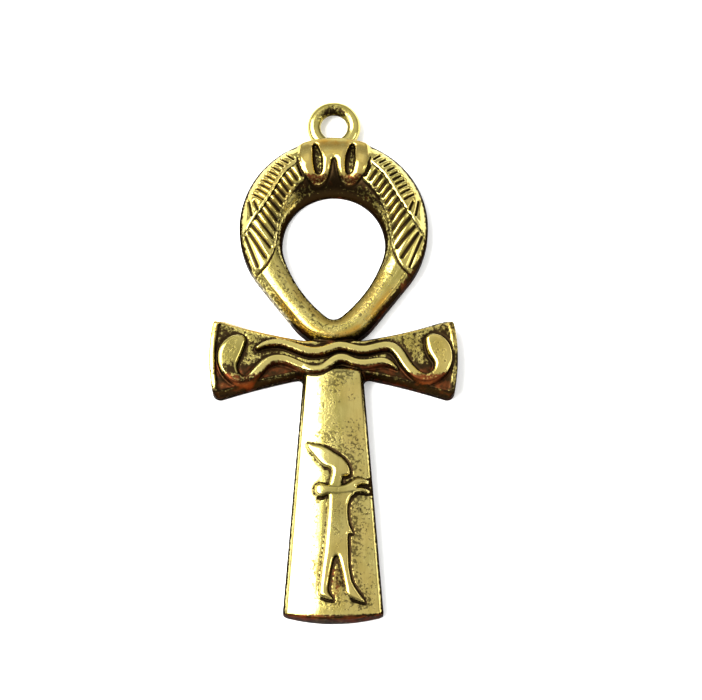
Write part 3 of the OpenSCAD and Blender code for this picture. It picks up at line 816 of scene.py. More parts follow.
@dataclass
class Stem:
    """The flared stem with its rounded face and bowed foot."""

    length: float = 32.05
    top_y: float = -1.15
    top_half: float = 3.5
    foot_half: float = 5.9
    bow: float = 0.8
    top_r: float = 0.55
    foot_r: float = 0.30
    top_h: float = 3.5
    face_r: float = 14.0
    edge_r: float = 0.60
    edge_drop: float = 1.05
    ramp_drop: float = 0.55
    root_fillet: float = 1.0
    plain_y: float = -16.0  # below it the edge is rounded off from the straight sides alone

    # Patches of dark specks on the face: x, y, half width, half height, strength.
    SPECKS = (
        (1.3, -2.2, 1.7, 1.0, 1.0), (-0.1, -5.6, 0.75, 3.6, 0.65), (0.2, -3.4, 1.6, 1.0, 0.55),
        (-1.4, -6.0, 0.45, 4.0, 0.60), (-0.6, -10.0, 1.6, 0.8, 0.85), (1.2, -11.4, 0.5, 0.4, 0.9),
        (2.2, -5.2, 0.8, 0.8, 0.45), (2.6, -12.2, 1.1, 1.8, 0.85), (2.3, -9.2, 1.3, 1.4, 0.60),
        (-1.9, -19.5, 0.45, 3.2, 0.50), (3.1, -18.0, 1.1, 3.5, 0.60), (2.6, -23.5, 1.0, 2.8, 0.80),
        (0.2, -26.8, 0.9, 2.4, 0.95), (-1.9, -26.0, 0.8, 2.5, 0.60), (0.8, -30.2, 3.6, 0.9, 0.55),
        (3.4, -28.4, 1.1, 1.6, 0.50), (4.6, -24.0, 0.6, 6.0, 0.35), (-1.0, -15.2, 0.5, 1.4, 0.50),
    )

    def face(self, x: Array) -> Array:
        """Returns the height of the rounded face."""
        return self.top_h - self.face_r + np.sqrt(self.face_r ** 2 - x ** 2)

    def outline(self) -> Array:
        """Draws the stem's outline.

        Returns:
            Its corners, one row each.
        """
        t = np.linspace(0.0, 1.0, 25)
        half, foot_y = self.top_half, self.bow - self.length
        foot = [self.foot_half * (1.0 - 2.0 * t), foot_y - 4.0 * self.bow * t * (1 - t)]
        bottom = np.stack(foot, axis=1)[1:-1]
        top = arc((half - self.top_r, self.top_y - self.top_r), self.top_r, 90.0, 0.0, 8)
        corner = arc((self.foot_half - self.foot_r, foot_y + self.foot_r), self.foot_r, 5.0, -75.0, 6)
        return np.concatenate([[[-half, self.top_y]], top, corner, bottom, corner[::-1] * [-1.0, 1.0]])

    def press(self, relief: Relief) -> None:
        """Presses the stem into the relief.

        Args:
            relief: the casting's relief.
        """
        part = relief.window((-6.6, -32.6), (6.6, -0.2))
        x, y = relief.x[part], relief.y[part]
        inside = signed_distance(x, y, self.outline())
        down = (self.top_y - y) / (self.length - self.bow + self.top_y)
        half = self.top_half + (self.foot_half - self.top_half) * down
        from_side = np.where(y < self.plain_y, half - np.abs(x), inside)
        drop = self.edge_drop * (1.0 - rounded(from_side / self.edge_r))
        shoulder = self.ramp_drop * smooth_step((y + 2.25) / 1.3)
        relief.join(part, inside, self.face(x) - drop - shoulder, self.root_fillet)
        on = (inside > -MARGIN).astype(float)
        marks = relief.views(part)
        face = smooth_step(inside / 0.5)
        wipe(marks, 0.95 * face * smooth_step((-0.9 - y) / 0.5))
        # Painted shade darkens the right long edge; dip lines the left one, fills the joint with the arms and
        # stays red-brown along the foot.
        right = smooth_step((0.34 - inside) / 0.25) * smooth_step((x - 2.0) / 1.0) * on
        left = smooth_step((0.20 - inside) / 0.15) * smooth_step((-2.0 - x) / 1.0) * on
        middle = np.clip(1.0 - (x / 4.8) ** 2, 0.0, 1.0)
        foot = smooth_step((0.17 + 0.42 * middle - inside) / (0.10 + 0.22 * middle))
        foot *= smooth_step((-30.8 - y) / 0.2) * on
        marks[Mark.PATINA_AND_SHADE] += 0.60 * right + 0.35 * left + 0.80 * foot
        marks[Mark.PATINA_AND_SHADE] += 0.7 * smooth_step((y + 2.1) / 1.0) * on
        marks[Mark.RUST_AND_SHADE] += 0.75 * foot
        for sx, sy, rx, ry, strength in self.SPECKS:
            marks[Mark.SPECKLE] += strength * np.exp(-((x - sx) / rx) ** 2 - ((y - sy) / ry) ** 2) * on
        # The face is rubbed along its length, and a painted highlight makes it brightest to the right of its
        # middle and bright again near its left edge.
        rubbed = 0.25 + 0.55 * smooth_step((x - 0.4) / 1.2) + 0.3 * smooth_step((-1.2 - x) / 0.6)
        marks[Mark.POLISH_AND_HIGHLIGHT] += rubbed * face
        for mark, values in ((Mark.GRAIN_U, y), (Mark.GRAIN_V, x)):
            marks[mark][...] = np.where(face > 0, values, marks[mark])


@dataclass
class Ridge:
    """A rounded ridge that follows a middle line of rows x, y and half width."""

    table: Array
    tallest: float = 0.85
    edge_w: float = 0.18
    bevel_from: float = 0.12
    bevel_w: float = 0.27
    bevel_slope: float = 0.40
    ground_h: float = 2.90
    ground_blur: float = 3.0
    moat: float = 0.09
    steps: int = 12
    ease: int = 7
    margin: float = 2.4

    def beads(self) -> Array:
        """Draws the middle line.

        Returns:
            Its rows, close together and eased into one smooth curve.
        """
        rows = smooth_table(self.table, self.steps)
        reach = 2 * self.ease
        weights = bell_weights(self.ease, reach)
        padded = np.pad(rows, [(reach, reach), (0, 0)], mode="reflect", reflect_type="odd")
        eased = np.stack([np.convolve(padded[:, k], weights, mode="valid") for k in range(3)], axis=1)
        eased[:, 2] = np.maximum(eased[:, 2], rows[:, 2].min())
        return eased

    def press(self, relief: Relief) -> None:
        """Presses the ridge into the relief.

        Args:
            relief: the casting's relief.
        """
        beads = self.beads()
        low, high = beads.min(axis=0) - self.margin, beads.max(axis=0) + self.margin
        part = relief.window((low[0], low[1]), (high[0], high[1]))
        share, radius = chain_reach(relief.x[part], relief.y[part], beads)
        off = (share - 1.0) * radius
        wide = self.bevel_w * np.minimum(radius, 1.4)
        bevel = np.clip(wide + self.bevel_from + off, 0.0, wide)
        body = self.tallest * rounded(-off / self.edge_w) - self.bevel_slope * bevel
        height = relief.height[part]
        ground = blurred(np.minimum(height, self.ground_h), self.ground_blur)
        height[...] = np.where(off < 0.0, np.maximum(height, ground + body), height)
        height -= self.moat * bell(off - 0.12, 0.13)
        marks = relief.views(part)
        wipe(marks, 0.95 * smooth_step(-off / 0.16))
        # Dip outlines the body; painted shade widens and darkens the line on the side that faces down and to
        # the right.
        flank, across = np.gradient(blurred(off, 1.5))
        shaded = smooth_step((0.6 * across - flank) / (0.5 * relief.pitch))
        line = smooth_step((0.13 + 0.20 * shaded - off) / 0.10) * smooth_step((off + 0.02) / 0.08)
        marks[Mark.PATINA_AND_SHADE] += line * (0.50 + 0.45 * shaded)
        # Painted shade makes the body's own lower flank, which faces down, red-brown; the bends low on the
        # arms are red-brown too.
        lower = smooth_step((-0.35 * relief.pitch - flank) / (0.5 * relief.pitch))
        lower *= smooth_step((0.46 + off) / 0.22) * smooth_step((0.05 - off) / 0.08)
        marks[Mark.PATINA_AND_SHADE] += 0.58 * lower
        marks[Mark.RUST_AND_SHADE] += 0.70 * lower
        foot = smooth_step((-1.9 - relief.y[part]) / 0.8) * smooth_step(-off / 0.1)
        # The left cobra's neck is dark down its middle.
        neck = smooth_step((0.1 - relief.y[part]) / 2.2) * smooth_step((radius - 0.72) / 0.15)
        neck *= smooth_step((-0.30 - off) / 0.15) * smooth_step(-relief.x[part])
        marks[Mark.RUST_AND_SHADE] += 0.80 * foot + 0.15 * neck
        marks[Mark.PATINA_AND_SHADE] += 0.66 * foot + 0.88 * neck * (1.0 - foot)
        # The hoods are speckled, the narrow bodies rubbed.
        hood = smooth_step((radius - 0.8) / 0.3) * smooth_step((-0.5 - off) / 0.3)
        marks[Mark.SPECKLE] += 0.25 * hood
        rubbed = 0.35 - 0.25 * smooth_step((radius - 0.7) / 0.3)
        marks[Mark.POLISH_AND_HIGHLIGHT] += rubbed * smooth_step(-off / 0.3) * (1.0 - lower)


@dataclass
class Cobras:
    """The two cobras that cross the arms, hoods outward and tails pointed."""

    # Columns: x and y from the crossing, half width.
    LOWER = np.array([
        [-11.22, 1.86, 0.78], [-11.70, 1.52, 1.15], [-12.15, 0.95, 1.40], [-12.46, 0.22, 1.40],
        [-12.60, -0.50, 1.24], [-12.55, -1.20, 1.10], [-12.34, -1.92, 0.96], [-11.88, -2.62, 0.76],
        [-11.12, -3.16, 0.66], [-10.22, -3.16, 0.64], [-9.42, -2.48, 0.65], [-8.68, -1.51, 0.64],
        [-7.88, -0.77, 0.61], [-6.94, -0.36, 0.61], [-5.80, -0.42, 0.59], [-4.85, -0.82, 0.58],
        [-3.90, -1.26, 0.58], [-2.95, -1.67, 0.58], [-2.00, -1.78, 0.58], [-1.24, -1.58, 0.59],
        [-0.41, -0.92, 0.60], [0.25, -0.42, 0.60], [1.00, -0.22, 0.59], [1.77, -0.47, 0.57],
        [2.54, -0.85, 0.57], [3.39, -0.99, 0.57], [4.33, -0.92, 0.57], [5.28, -0.72, 0.56],
        [6.04, -0.69, 0.53], [6.61, -0.92, 0.42], [7.18, -1.32, 0.26], [7.72, -1.74, 0.07],
    ])
    UPPER = np.array([
        [11.76, 1.96, 0.80], [12.12, 1.64, 1.15], [12.48, 1.08, 1.46], [12.82, 0.36, 1.38],
        [13.06, -0.40, 1.14], [13.00, -1.18, 0.98], [12.68, -1.95, 0.84], [11.98, -2.62, 0.68],
        [11.05, -2.88, 0.67], [10.30, -2.70, 0.64], [9.64, -2.25, 0.63], [9.07, -1.66, 0.63],
        [8.60, -0.97, 0.63], [8.20, -0.27, 0.63], [7.72, 0.48, 0.63], [7.09, 1.06, 0.61],
        [6.43, 1.26, 0.59], [5.67, 1.18, 0.59], [4.91, 0.97, 0.59], [4.15, 0.75, 0.59],
        [3.39, 0.68, 0.59], [2.53, 0.82, 0.58], [1.77, 1.08, 0.57], [1.01, 1.23, 0.56],
        [0.35, 1.18, 0.57], [-0.41, 0.93, 0.58], [-1.06, 0.64, 0.59], [-2.01, 0.47, 0.61],
        [-2.95, 0.52, 0.61], [-3.91, 0.80, 0.60], [-4.86, 1.17, 0.58], [-5.81, 1.55, 0.55],
        [-6.76, 1.66, 0.52], [-7.80, 1.52, 0.44], [-8.50, 1.28, 0.34], [-9.05, 0.95, 0.26],
    ])

    def press(self, relief: Relief) -> None:
        """Presses both cobras into the relief, with painted shade that dulls the left one's hood.

        Args:
            relief: the casting's relief.
        """
        for table in (self.LOWER, self.UPPER):
            Ridge(table).press(relief)
        # Painted shade on the left hood.
        relief.stain(Mark.PAINTED_SHADE, -11.9, 0.3, 1.6, 2.8, 0.75)


@dataclass
class StandingFigure:
    """The standing figure on the stem: a head, a pair of arms and a body, each rounded inside its outline."""

    corner_steps: int = 4
    gap: float = 0.34
    seam: float = 0.06

    # Outlines as x and y from the crossing.
    HEAD = np.array([
        [-3.12, -10.72], [-2.36, -10.97], [-1.27, -11.27], [-0.40, -11.72], [0.17, -12.12], [0.90, -12.58],
        [1.47, -13.10], [1.83, -13.72], [2.01, -14.39], [1.91, -14.84], [1.55, -15.01], [1.14, -15.10],
        [1.05, -15.60], [0.85, -16.40], [-0.55, -16.40], [-0.47, -15.60], [-0.22, -14.30], [-0.91, -13.92],
        [-1.41, -13.60], [-1.84, -13.15], [-2.57, -12.27], [-3.18, -11.40],
    ])
    ARMS = np.array([
        [-1.62, -15.77], [-0.90, -16.00], [0.18, -16.15], [1.26, -16.00], [1.98, -15.63], [2.48, -15.27],
        [3.06, -15.10], [3.63, -15.22], [4.12, -15.42], [4.10, -15.80], [3.35, -15.94], [2.77, -16.33],
        [3.42, -16.27], [4.17, -16.56], [4.14, -16.92], [3.42, -16.86], [2.77, -16.94], [2.34, -17.08],
        [1.83, -17.16], [1.26, -17.28], [0.18, -17.36], [-0.54, -17.30], [-1.20, -17.52], [-1.83, -17.42],
        [-2.22, -16.88], [-2.12, -16.18],
    ])
    BODY = np.array([
        [-0.62, -16.90], [-0.70, -18.21], [-0.72, -18.96], [-1.01, -22.72], [-1.37, -25.52], [-1.71, -28.69],
        [-1.70, -29.20], [-1.36, -29.56], [-0.18, -29.93], [-0.07, -29.71], [-0.57, -28.78], [-0.41, -27.38],
        [-0.16, -25.99], [0.06, -25.05], [0.33, -24.70], [0.58, -24.96], [1.02, -26.45], [1.38, -28.31],
        [1.54, -29.15], [2.26, -29.75], [3.44, -30.07], [3.66, -29.91], [3.17, -29.24], [2.44, -28.13],
        [2.08, -27.20], [1.83, -25.52], [1.79, -23.65], [1.80, -22.02], [2.22, -21.88], [2.17, -21.50],
        [1.92, -20.84], [1.74, -19.90], [1.74, -18.58], [2.05, -17.60], [2.45, -16.90],
    ])
    # How high each form stands and how wide its rounded edge is.
    FORMS = ((HEAD, 0.42, 0.60), (BODY, 0.40, 0.66), (ARMS, 0.58, 0.50))
    # Dip left on the ground round the figure, painted shadow beside it on its right, and painted shade that
    # dulls its body.
    # Columns: mark, centre, half sizes, strength.
    GROUND = (
        (Mark.PATINA_AND_SHADE, 0.50, -27.8, 0.85, 2.1, 0.56), (Mark.RUST_AND_SHADE, 0.50, -28.2, 0.90, 1.9, 0.60),
        (Mark.PATINA_AND_SHADE, 3.00, -19.2, 0.75, 1.2, 0.44), (Mark.SPECKLE, 3.00, -19.2, 0.90, 1.5, 0.35),
        (Mark.PATINA_AND_SHADE, 3.10, -12.6, 0.80, 0.7, 0.26), (Mark.PATINA_AND_SHADE, 0.30, -10.7, 1.20, 0.7, 0.26),
        (Mark.PATINA_AND_SHADE, 2.70, -28.6, 0.80, 0.8, 0.22), (Mark.SPECKLE, 0.30, -10.7, 1.50, 0.9, 0.35),
    )
    PAINTED_BODY_SHADE = ((Mark.PATINA_AND_SHADE, 0.5, -20.0, 0.8, 4.4, 0.34), (Mark.PAINTED_SHADE, 0.3, -18.5, 1.5, 4.6, 0.50))

    def skin(self, x: Array, y: Array) -> tuple[Array, Array]:
        """Joins the forms under one skin, so that their heights don't add up.

        Args:
            x: the points' first coordinates.
            y: the points' second coordinates.

        Returns:
            The skin's height above the ground, and how far each point lies inside the figure.
        """
        skin, deep = np.full(x.shape, -1.0), np.full(x.shape, -FAR)
        for outline, rise, edge_w in self.FORMS:
            closed = np.concatenate([outline, outline[:1]])
            inside = signed_distance(x, y, smooth_table(closed, self.corner_steps))
            form = np.where(inside > 0.0, rise * rounded(inside / edge_w), inside)
            skin = soft_max(skin, form, self.seam)
            deep = np.maximum(deep, inside)
        return np.maximum(skin, 0.0), deep

    def press(self, relief: Relief) -> None:
        """Presses the figure into the relief.

        Args:
            relief: the casting's relief.
        """
        part = relief.window((-4.6, -31.2), (5.4, -9.6))
        skin, deep = self.skin(relief.x[part], relief.y[part])
        facing = np.gradient(blurred(deep, 2.0))
        right = smooth_step((facing[0] * 0.5 - facing[1]) / 0.04 + 0.5)
        relief.height[part] += skin - bell(deep + 0.10, 0.14) * (0.03 + 0.14 * right)
        for patch in self.GROUND:
            relief.stain(*patch)
        marks = relief.views(part)
        # The figure is rubbed clean of the ground's dip; a thin line of dip outlines it, widened on its right
        # into painted shadow with dark specks.
        clean = 1.0 - 0.92 * smooth_step(deep / 0.15)
        for mark in (Mark.PATINA_AND_SHADE, Mark.RUST_AND_SHADE, Mark.SPECKLE):
            marks[mark] *= clean
        shade = smooth_step((deep + self.gap + 0.10) / 0.15) * smooth_step((0.06 - deep) / 0.10)
        marks[Mark.PATINA_AND_SHADE] += shade * (0.10 + 0.90 * right)
        marks[Mark.SPECKLE] += 0.85 * bell(deep + 0.55, 0.35) * right
        marks[Mark.POLISH_AND_HIGHLIGHT] += 0.3 * smooth_step(deep / 0.25)
        # Painted shade makes its undersides, which face down, brown.
        under = smooth_step((facing[0] - 0.03) / 0.03) * smooth_step(deep / 0.08)
        under *= smooth_step((0.42 - deep) / 0.2)
        marks[Mark.PATINA_AND_SHADE] += 0.30 * under
        marks[Mark.RUST_AND_SHADE] += 0.45 * under
        for patch in self.PAINTED_BODY_SHADE:
            relief.stain(*patch)


# The skin

@dataclass
class CastingSkin:
    """Turns the relief into one closed skin: face, upright walls, a bevelled back edge and a flat back."""

    relief: Relief
    back_edge: float = 0.15
    wall_rows: int = 4
    carried: float = 0.60  # share of the face's marks that runs down the walls
    inset: float = 0.04  # how far inside the outline the face's edge reads the relief
    edge_from: float = 0.35  # cells between the outline and the nearest corner that is kept
    pinch_rounds: int = 6
    outline_rounds: int = 3
    edge_cells: int = 6
    edge_rounds: int = 10
    edge_pull: float = 0.6
    even_rounds: int = 12

    # Each mark on the walls, at their top and at their foot.
    WALL = {
        Mark.PATINA_AND_SHADE: (0.26, 0.31), Mark.RUST_AND_SHADE: (0.35, 0.20), Mark.SPECKLE: (0.45, 0.35), Mark.WARM: (0.2, 0.1),
    }

    def cells(self) -> Array:
        """Finds the grid squares inside the outline.

        Returns:
            Which squares are kept, with no two that meet only at a corner.
        """
        node = self.relief.inside > self.edge_from * self.relief.pitch
        keep = node[:-1, :-1] & node[1:, :-1] & node[:-1, 1:] & node[1:, 1:]
        for _ in range(self.pinch_rounds):
            p = np.pad(keep, 1)
            a, b, c, d = p[:-1, :-1], p[:-1, 1:], p[1:, :-1], p[1:, 1:]
            pinch = (a & d & ~b & ~c) | (b & c & ~a & ~d)
            keep &= ~(pinch[:-1, :-1] | pinch[1:, :-1] | pinch[:-1, 1:] | pinch[1:, 1:])
        return keep

    def rims(self, quads: Array) -> list[Array]:
        """Walks round the open edges of a sheet of squares.

        Args:
            quads: the squares, four corners a row.

        Returns:
            One loop of corners for each open edge, with the sheet on its left.
        """
        ends = np.concatenate([quads[:, [k, (k + 1) % 4]] for k in range(4)])
        count = int(quads.max()) + 1
        lone = ~np.isin(ends[:, 0] * count + ends[:, 1], ends[:, 1] * count + ends[:, 0])
        following = dict(ends[lone].tolist())
        loops = []
        while following:
            loop, at = [], next(iter(following))
            while at in following:
                loop.append(at)
                at = following.pop(at)
            loops.append(np.array(loop))
        return loops

    def slope(self, points: Array) -> tuple[Array, Array]:
        """Measures points against the outline.

        Args:
            points: the points, one row each.

        Returns:
            How far they lie inside it, and the direction in which that grows.
        """
        rise_y, rise_x = np.gradient(self.relief.inside, self.relief.pitch)
        inward = np.stack([self.relief.sample(rise, points) for rise in (rise_x, rise_y)], axis=1)
        return self.relief.sample(self.relief.inside, points), inward

    def to_outline(self, points: Array) -> Array:
        """Moves points straight onto the outline.

        Args:
            points: the points, one row each.

        Returns:
            Their new places.
        """
        for _ in range(self.outline_rounds):
            depth, inward = self.slope(points)
            points = points - inward * (depth / np.maximum((inward ** 2).sum(axis=1), 0.2))[:, None]
        return points

    def face(self) -> tuple[Array, Array, list[Array]]:
        """Lays the face's corners out.

        Returns:
            The corners' places in the plane, the squares, and the loops of corners on the outline.
        """
        keep = self.cells()
        used = np.zeros(self.relief.x.shape, bool)
        for rows in (slice(None, -1), slice(1, None)):
            for cols in (slice(None, -1), slice(1, None)):
                used[rows, cols] |= keep
        index = np.full(used.shape, -1)
        index[used] = np.arange(used.sum())
        corners = (index[:-1, :-1], index[:-1, 1:], index[1:, 1:], index[1:, :-1])
        quads = np.stack([corner[keep] for corner in corners], 1)
        points = np.stack([self.relief.x[used], self.relief.y[used]], axis=1)
        # The outer corners go onto the outline and are spread along it.
        rims = self.rims(quads)
        for loop in rims:
            places = self.to_outline(points[loop])
            for _ in range(self.edge_rounds):
                middle = (np.roll(places, 1, axis=0) + np.roll(places, -1, axis=0)) / 2
                places = self.to_outline(places + self.edge_pull * (middle - places))
            points[loop] = places
        # The corners next to them are evened out between their neighbours.
        near = self.relief.inside[used] < self.edge_cells * self.relief.pitch
        near[np.concatenate(rims)] = False
        rows, cols = (k[near] for k in np.nonzero(used))
        around = [index[rows - 1, cols], index[rows + 1, cols], index[rows, cols - 1], index[rows, cols + 1]]
        for _ in range(self.even_rounds):
            points[near] = 0.5 * points[near] + 0.5 * np.mean([points[k] for k in around], axis=0)
        return points, quads, rims

    def back(self, loops: list[Array], numbers: list[Array]) -> list[tuple[int, int, int]]:
        """Fills the flat back between its loops of points.

        Args:
            loops: the loops' places, one row a point.
            numbers: the same points' numbers in the mesh.

        Returns:
            The triangles, facing down.
        """
        edges, start = [], 0
        for loop in loops:
            edges += [(start + k, start + (k + 1) % len(loop)) for k in range(len(loop))]
            start += len(loop)
        flat = [Vector(p) for p in np.concatenate(loops)]
        points, _, triangles, origins, _, _ = delaunay_2d_cdt(flat, edges, [], 0, 1e-7)
        places = np.array([tuple(p) for p in points])
        tri = np.array([t for t in triangles if len(t) == 3])
        middle = places[tri].mean(axis=1)
        inside = np.zeros(len(tri), bool)
        for loop in loops:
            for (ax, ay), (bx, by) in zip(loop, np.roll(loop, -1, axis=0)):
                if ay != by:
                    inside ^= ((ay > middle[:, 1]) != (by > middle[:, 1])) & (
                        middle[:, 0] < ax + (bx - ax) * (middle[:, 1] - ay) / (by - ay))
        number = np.concatenate(numbers)
        first = [origin[0] for origin in origins]
        out = []
        for a, b, c in tri[inside]:
            turn = np.cross(places[b] - places[a], places[c] - places[a])
            out.append(tuple(int(number[first[k]]) for k in ((a, c, b) if turn > 0 else (a, b, c))))
        return out

    def wall_mark(self, mark: Mark, top: Array, share: float) -> Array:
        """Works a mark out on a row of the walls.

        Args:
            mark: which mark.
            top: its values along the face's edge.
            share: the row's share of the way down.

        Returns:
            The mark's values along the row.
        """
        if mark not in self.WALL:
            return np.maximum(top, FAR if mark is Mark.BARB_OFF else 0.0)
        upper, lower = self.WALL[mark]
        return top * self.carried + upper * (1 - share) + lower * share

    def build(self, name: str, crossing: float) -> bpy.types.Object:
        """Builds the closed skin as an object.

        Args:
            name: the object's name.
            crossing: the crossing's place along Y in metres.

        Returns:
            The object, with the relief's marks as attributes.
        """
        points, quads, rims = self.face()
        start = points.copy()
        for loop in rims:
            start[loop] += self.inset * self.slope(points[loop])[1]
        height = self.relief.sample(self.relief.height, start)
        sheets = {mark: [self.relief.sample(values, start)] for mark, values in self.relief.marks.items()}
        places = [np.column_stack([points, height])]
        faces = quads.tolist()
        total = len(points)
        loops, numbers = [], []
        for loop in rims:
            inward = self.slope(points[loop])[1]
            inward /= np.maximum(np.hypot(*inward.T), 1e-6)[:, None]
            above = loop
            # Each row hangs below the one above it, and the last one is the back's edge.
            for row in range(1, self.wall_rows + 2):
                share = min(1.0, row / self.wall_rows)
                last = row > self.wall_rows
                level = np.zeros(len(loop)) if last else height[loop] * (1 - share) + self.back_edge * share
                flat = points[loop] + inward * (self.back_edge if last else 0.0)
                here = total + np.arange(len(loop))
                total += len(loop)
                places.append(np.column_stack([flat, level]))
                for mark, parts in sheets.items():
                    parts.append(self.wall_mark(mark, parts[0][loop], share))
                faces += np.stack([here, np.roll(here, -1), np.roll(above, -1), above], axis=1).tolist()
                above = here
            loops.append(flat)
            numbers.append(above)
        faces += self.back(loops, numbers)
        corners = np.concatenate(places) * MM
        corners[:, 1] += crossing
        mesh = bpy.data.meshes.new(name)
        mesh.from_pydata(corners.tolist(), [], faces)
        for mark, parts in sheets.items():
            attribute = mesh.attributes.new(mark.value, "FLOAT", "POINT")
            attribute.data.foreach_set("value", np.concatenate(parts))
        mesh.shade_smooth()
        piece = bpy.data.objects.new(name, mesh)
        bpy.context.scene.collection.objects.link(piece)
        return piece


# Nodes

def linear(code: str) -> tuple[float, float, float, float]:
    """Turns an sRGB hex colour such as "#C8A850" into linear red, green, blue and alpha."""
    parts = [int(code[k:k + 2], 16) / 255 for k in (1, 3, 5)]
    return tuple(p / 12.92 if p <= 0.04045 else ((p + 0.055) / 1.055) ** 2.4 for p in parts) + (1.0,)


def add_node(tree: bpy.types.NodeTree, kind: str, inputs: dict | None = None,
             **settings: object) -> bpy.types.Node:
    """Adds a node to a tree.

    Args:
        tree: the tree that takes the node.
        kind: the node's type.
        inputs: what feeds its inputs, by name or number: a value, a socket, or a node's first output.
        settings: the node's own properties.

    Returns:
        The new node.
    """
    node = tree.nodes.new(kind)
    for name, value in settings.items():
        setattr(node, name, value)
    for key, value in (inputs or {}).items():
        if isinstance(value, bpy.types.Node):
            value = value.outputs[0]
        if isinstance(value, bpy.types.NodeSocket):
            tree.links.new(value, node.inputs[key])
        else:
            node.inputs[key].default_value = value
    return node


class Sum(Enum):
    """A sum that one node works out: the node's type and the setting that picks the sum."""

    ADD = (MATH, {"operation": "ADD"})
    SUBTRACT = (MATH, {"operation": "SUBTRACT"})
    MULTIPLY = (MATH, {"operation": "MULTIPLY"})
    MULTIPLY_ADD = (MATH, {"operation": "MULTIPLY_ADD"})
    MAXIMUM = (MATH, {"operation": "MAXIMUM"})
    ABSOLUTE = (MATH, {"operation": "ABSOLUTE"})
    STEP = (RAMP, {"interpolation_type": "SMOOTHSTEP"})  # from 0 at the second input to 1 at the third


def add_nodes(tree: bpy.types.NodeTree, known: dict[str, object], rows: tuple) -> None:
    """Adds the nodes of a table to a tree.

    Args:
        tree: the tree that takes them.
        known: values, sockets and nodes by name, which takes up each new node.
        rows: for each node its name, its sum and its inputs, as numbers or names.
    """
    for name, work, *inputs in rows:
        kind, settings = work.value
        values = {k: known[v] if isinstance(v, str) else v for k, v in enumerate(inputs)}
        known[name] = add_node(tree, kind, values, **settings)


@dataclass
class NodeForm:
    """A Geometry Nodes tree that is run once on an object and leaves a plain mesh."""

    name: str
    tree: bpy.types.NodeTree = field(init=False)
    source: bpy.types.Node = field(init=False)

    def __post_init__(self) -> None:
        """Starts the tree with its geometry and finish sockets."""
        self.tree = bpy.data.node_groups.new(self.name, "GeometryNodeTree")
        for way in ("OUTPUT", "INPUT"):
            self.tree.interface.new_socket("Geometry", in_out=way, socket_type="NodeSocketGeometry")
        self.source = self.tree.nodes.new("NodeGroupInput")
        self.size("Finish", "NodeSocketMaterial")

    def size(self, name: str, kind: str = "NodeSocketFloat") -> bpy.types.NodeSocket:
        """Adds a named input and returns its socket inside the tree."""
        self.tree.interface.new_socket(name, in_out="INPUT", socket_type=kind)
        return self.source.outputs[name]

    def close(self, geometry: bpy.types.Node) -> None:
        """Ends the tree with plain geometry that carries the finish.

        Args:
            geometry: the node that gives the finished form.
        """
        real = add_node(self.tree, "GeometryNodeRealizeInstances", {0: geometry})
        finish = self.source.outputs["Finish"]
        dressed = add_node(self.tree, "GeometryNodeSetMaterial", {"Geometry": real, "Material": finish})
        add_node(self.tree, "NodeGroupOutput", {0: dressed})

    def run(self, piece: bpy.types.Object, sizes: dict[str, object]) -> None:
        """Runs the tree on an object and keeps the result as its mesh.

        Args:
            piece: the object.
            sizes: a value for each named input.
        """
        modifier = piece.modifiers.new(self.name, "NODES")
        modifier.node_group = self.tree
        for item in self.tree.interface.items_tree:
            if item.in_out == "INPUT" and item.name in sizes:
                modifier[item.identifier] = sizes[item.name]
        bpy.context.view_layer.update()
        done = piece.evaluated_get(bpy.context.evaluated_depsgraph_get())
        mesh = bpy.data.meshes.new_from_object(done)
        piece.modifiers.remove(modifier)
        mesh.name = piece.name
        piece.data = mesh


@dataclass
class BarbGrooves:
    """The grooves that part the wings' feathers, cut where the wings mark the casting."""

    depth: float = 0.32
    width: float = 0.74
    unevenness: float = 0.10
    hills_per_mm: float = 0.7
    seed: float = 4.0

    # The nodes that shape a groove: name, sum, inputs.
    SUMS = (
        # An uneven distance from the groove's middle line.
        ("swing", Sum.SUBTRACT, "noise", 0.5), ("jitter", Sum.MULTIPLY, "swing", "waver"),
        ("plain", Sum.ABSOLUTE, "off"), ("reach", Sum.ADD, "plain", "jitter"),
        # The groove is narrower in the outer row, and its floor is narrow and flat.
        ("share", Sum.MULTIPLY_ADD, "row", -0.14, 0.5), ("half", Sum.MULTIPLY, "width", "share"),
        ("floor", Sum.MULTIPLY, "half", 0.22), ("cut", Sum.STEP, "reach", "half", "floor"),
        ("sunk", Sum.MULTIPLY, "cut", "depth"), ("lower", Sum.MULTIPLY, "sunk", -1.0),
    )

    def form(self) -> NodeForm:
        """Builds the tree.

        Returns:
            The tree, which sinks each groove and marks it for the finish.
        """
        form = NodeForm("barb_grooves")
        tree = form.tree
        known = {name: form.size(label) for name, label in (
            ("depth", "Groove depth"), ("width", "Groove width"), ("waver", "Unevenness"), ("seed", "Seed"))}
        for name, mark in (("off", Mark.BARB_OFF), ("row", Mark.BARB_ROW)):
            known[name] = add_node(tree, "GeometryNodeInputNamedAttribute", {"Name": mark.value})
        known["noise"] = add_node(tree, NOISE, {
            "W": known["seed"], "Scale": self.hills_per_mm / MM, "Detail": 1.0}, noise_dimensions="4D")
        add_nodes(tree, known, self.SUMS)
        down = add_node(tree, "ShaderNodeCombineXYZ", {2: known["lower"]})
        moved = add_node(tree, "GeometryNodeSetPosition", {
            "Geometry": form.source.outputs["Geometry"], "Offset": down})
        form.close(add_node(tree, "GeometryNodeStoreNamedAttribute", {
            "Geometry": moved, "Name": GROOVE, "Value": known["cut"]}))
        return form

    def cut(self, piece: bpy.types.Object, finish: bpy.types.Material) -> None:
        """Cuts the grooves into the casting.

        Args:
            piece: the casting.
            finish: its finish.
        """
        self.form().run(piece, {
            "Finish": finish, "Groove depth": self.depth * MM, "Groove width": self.width,
            "Unevenness": self.unevenness, "Seed": self.seed,
        })


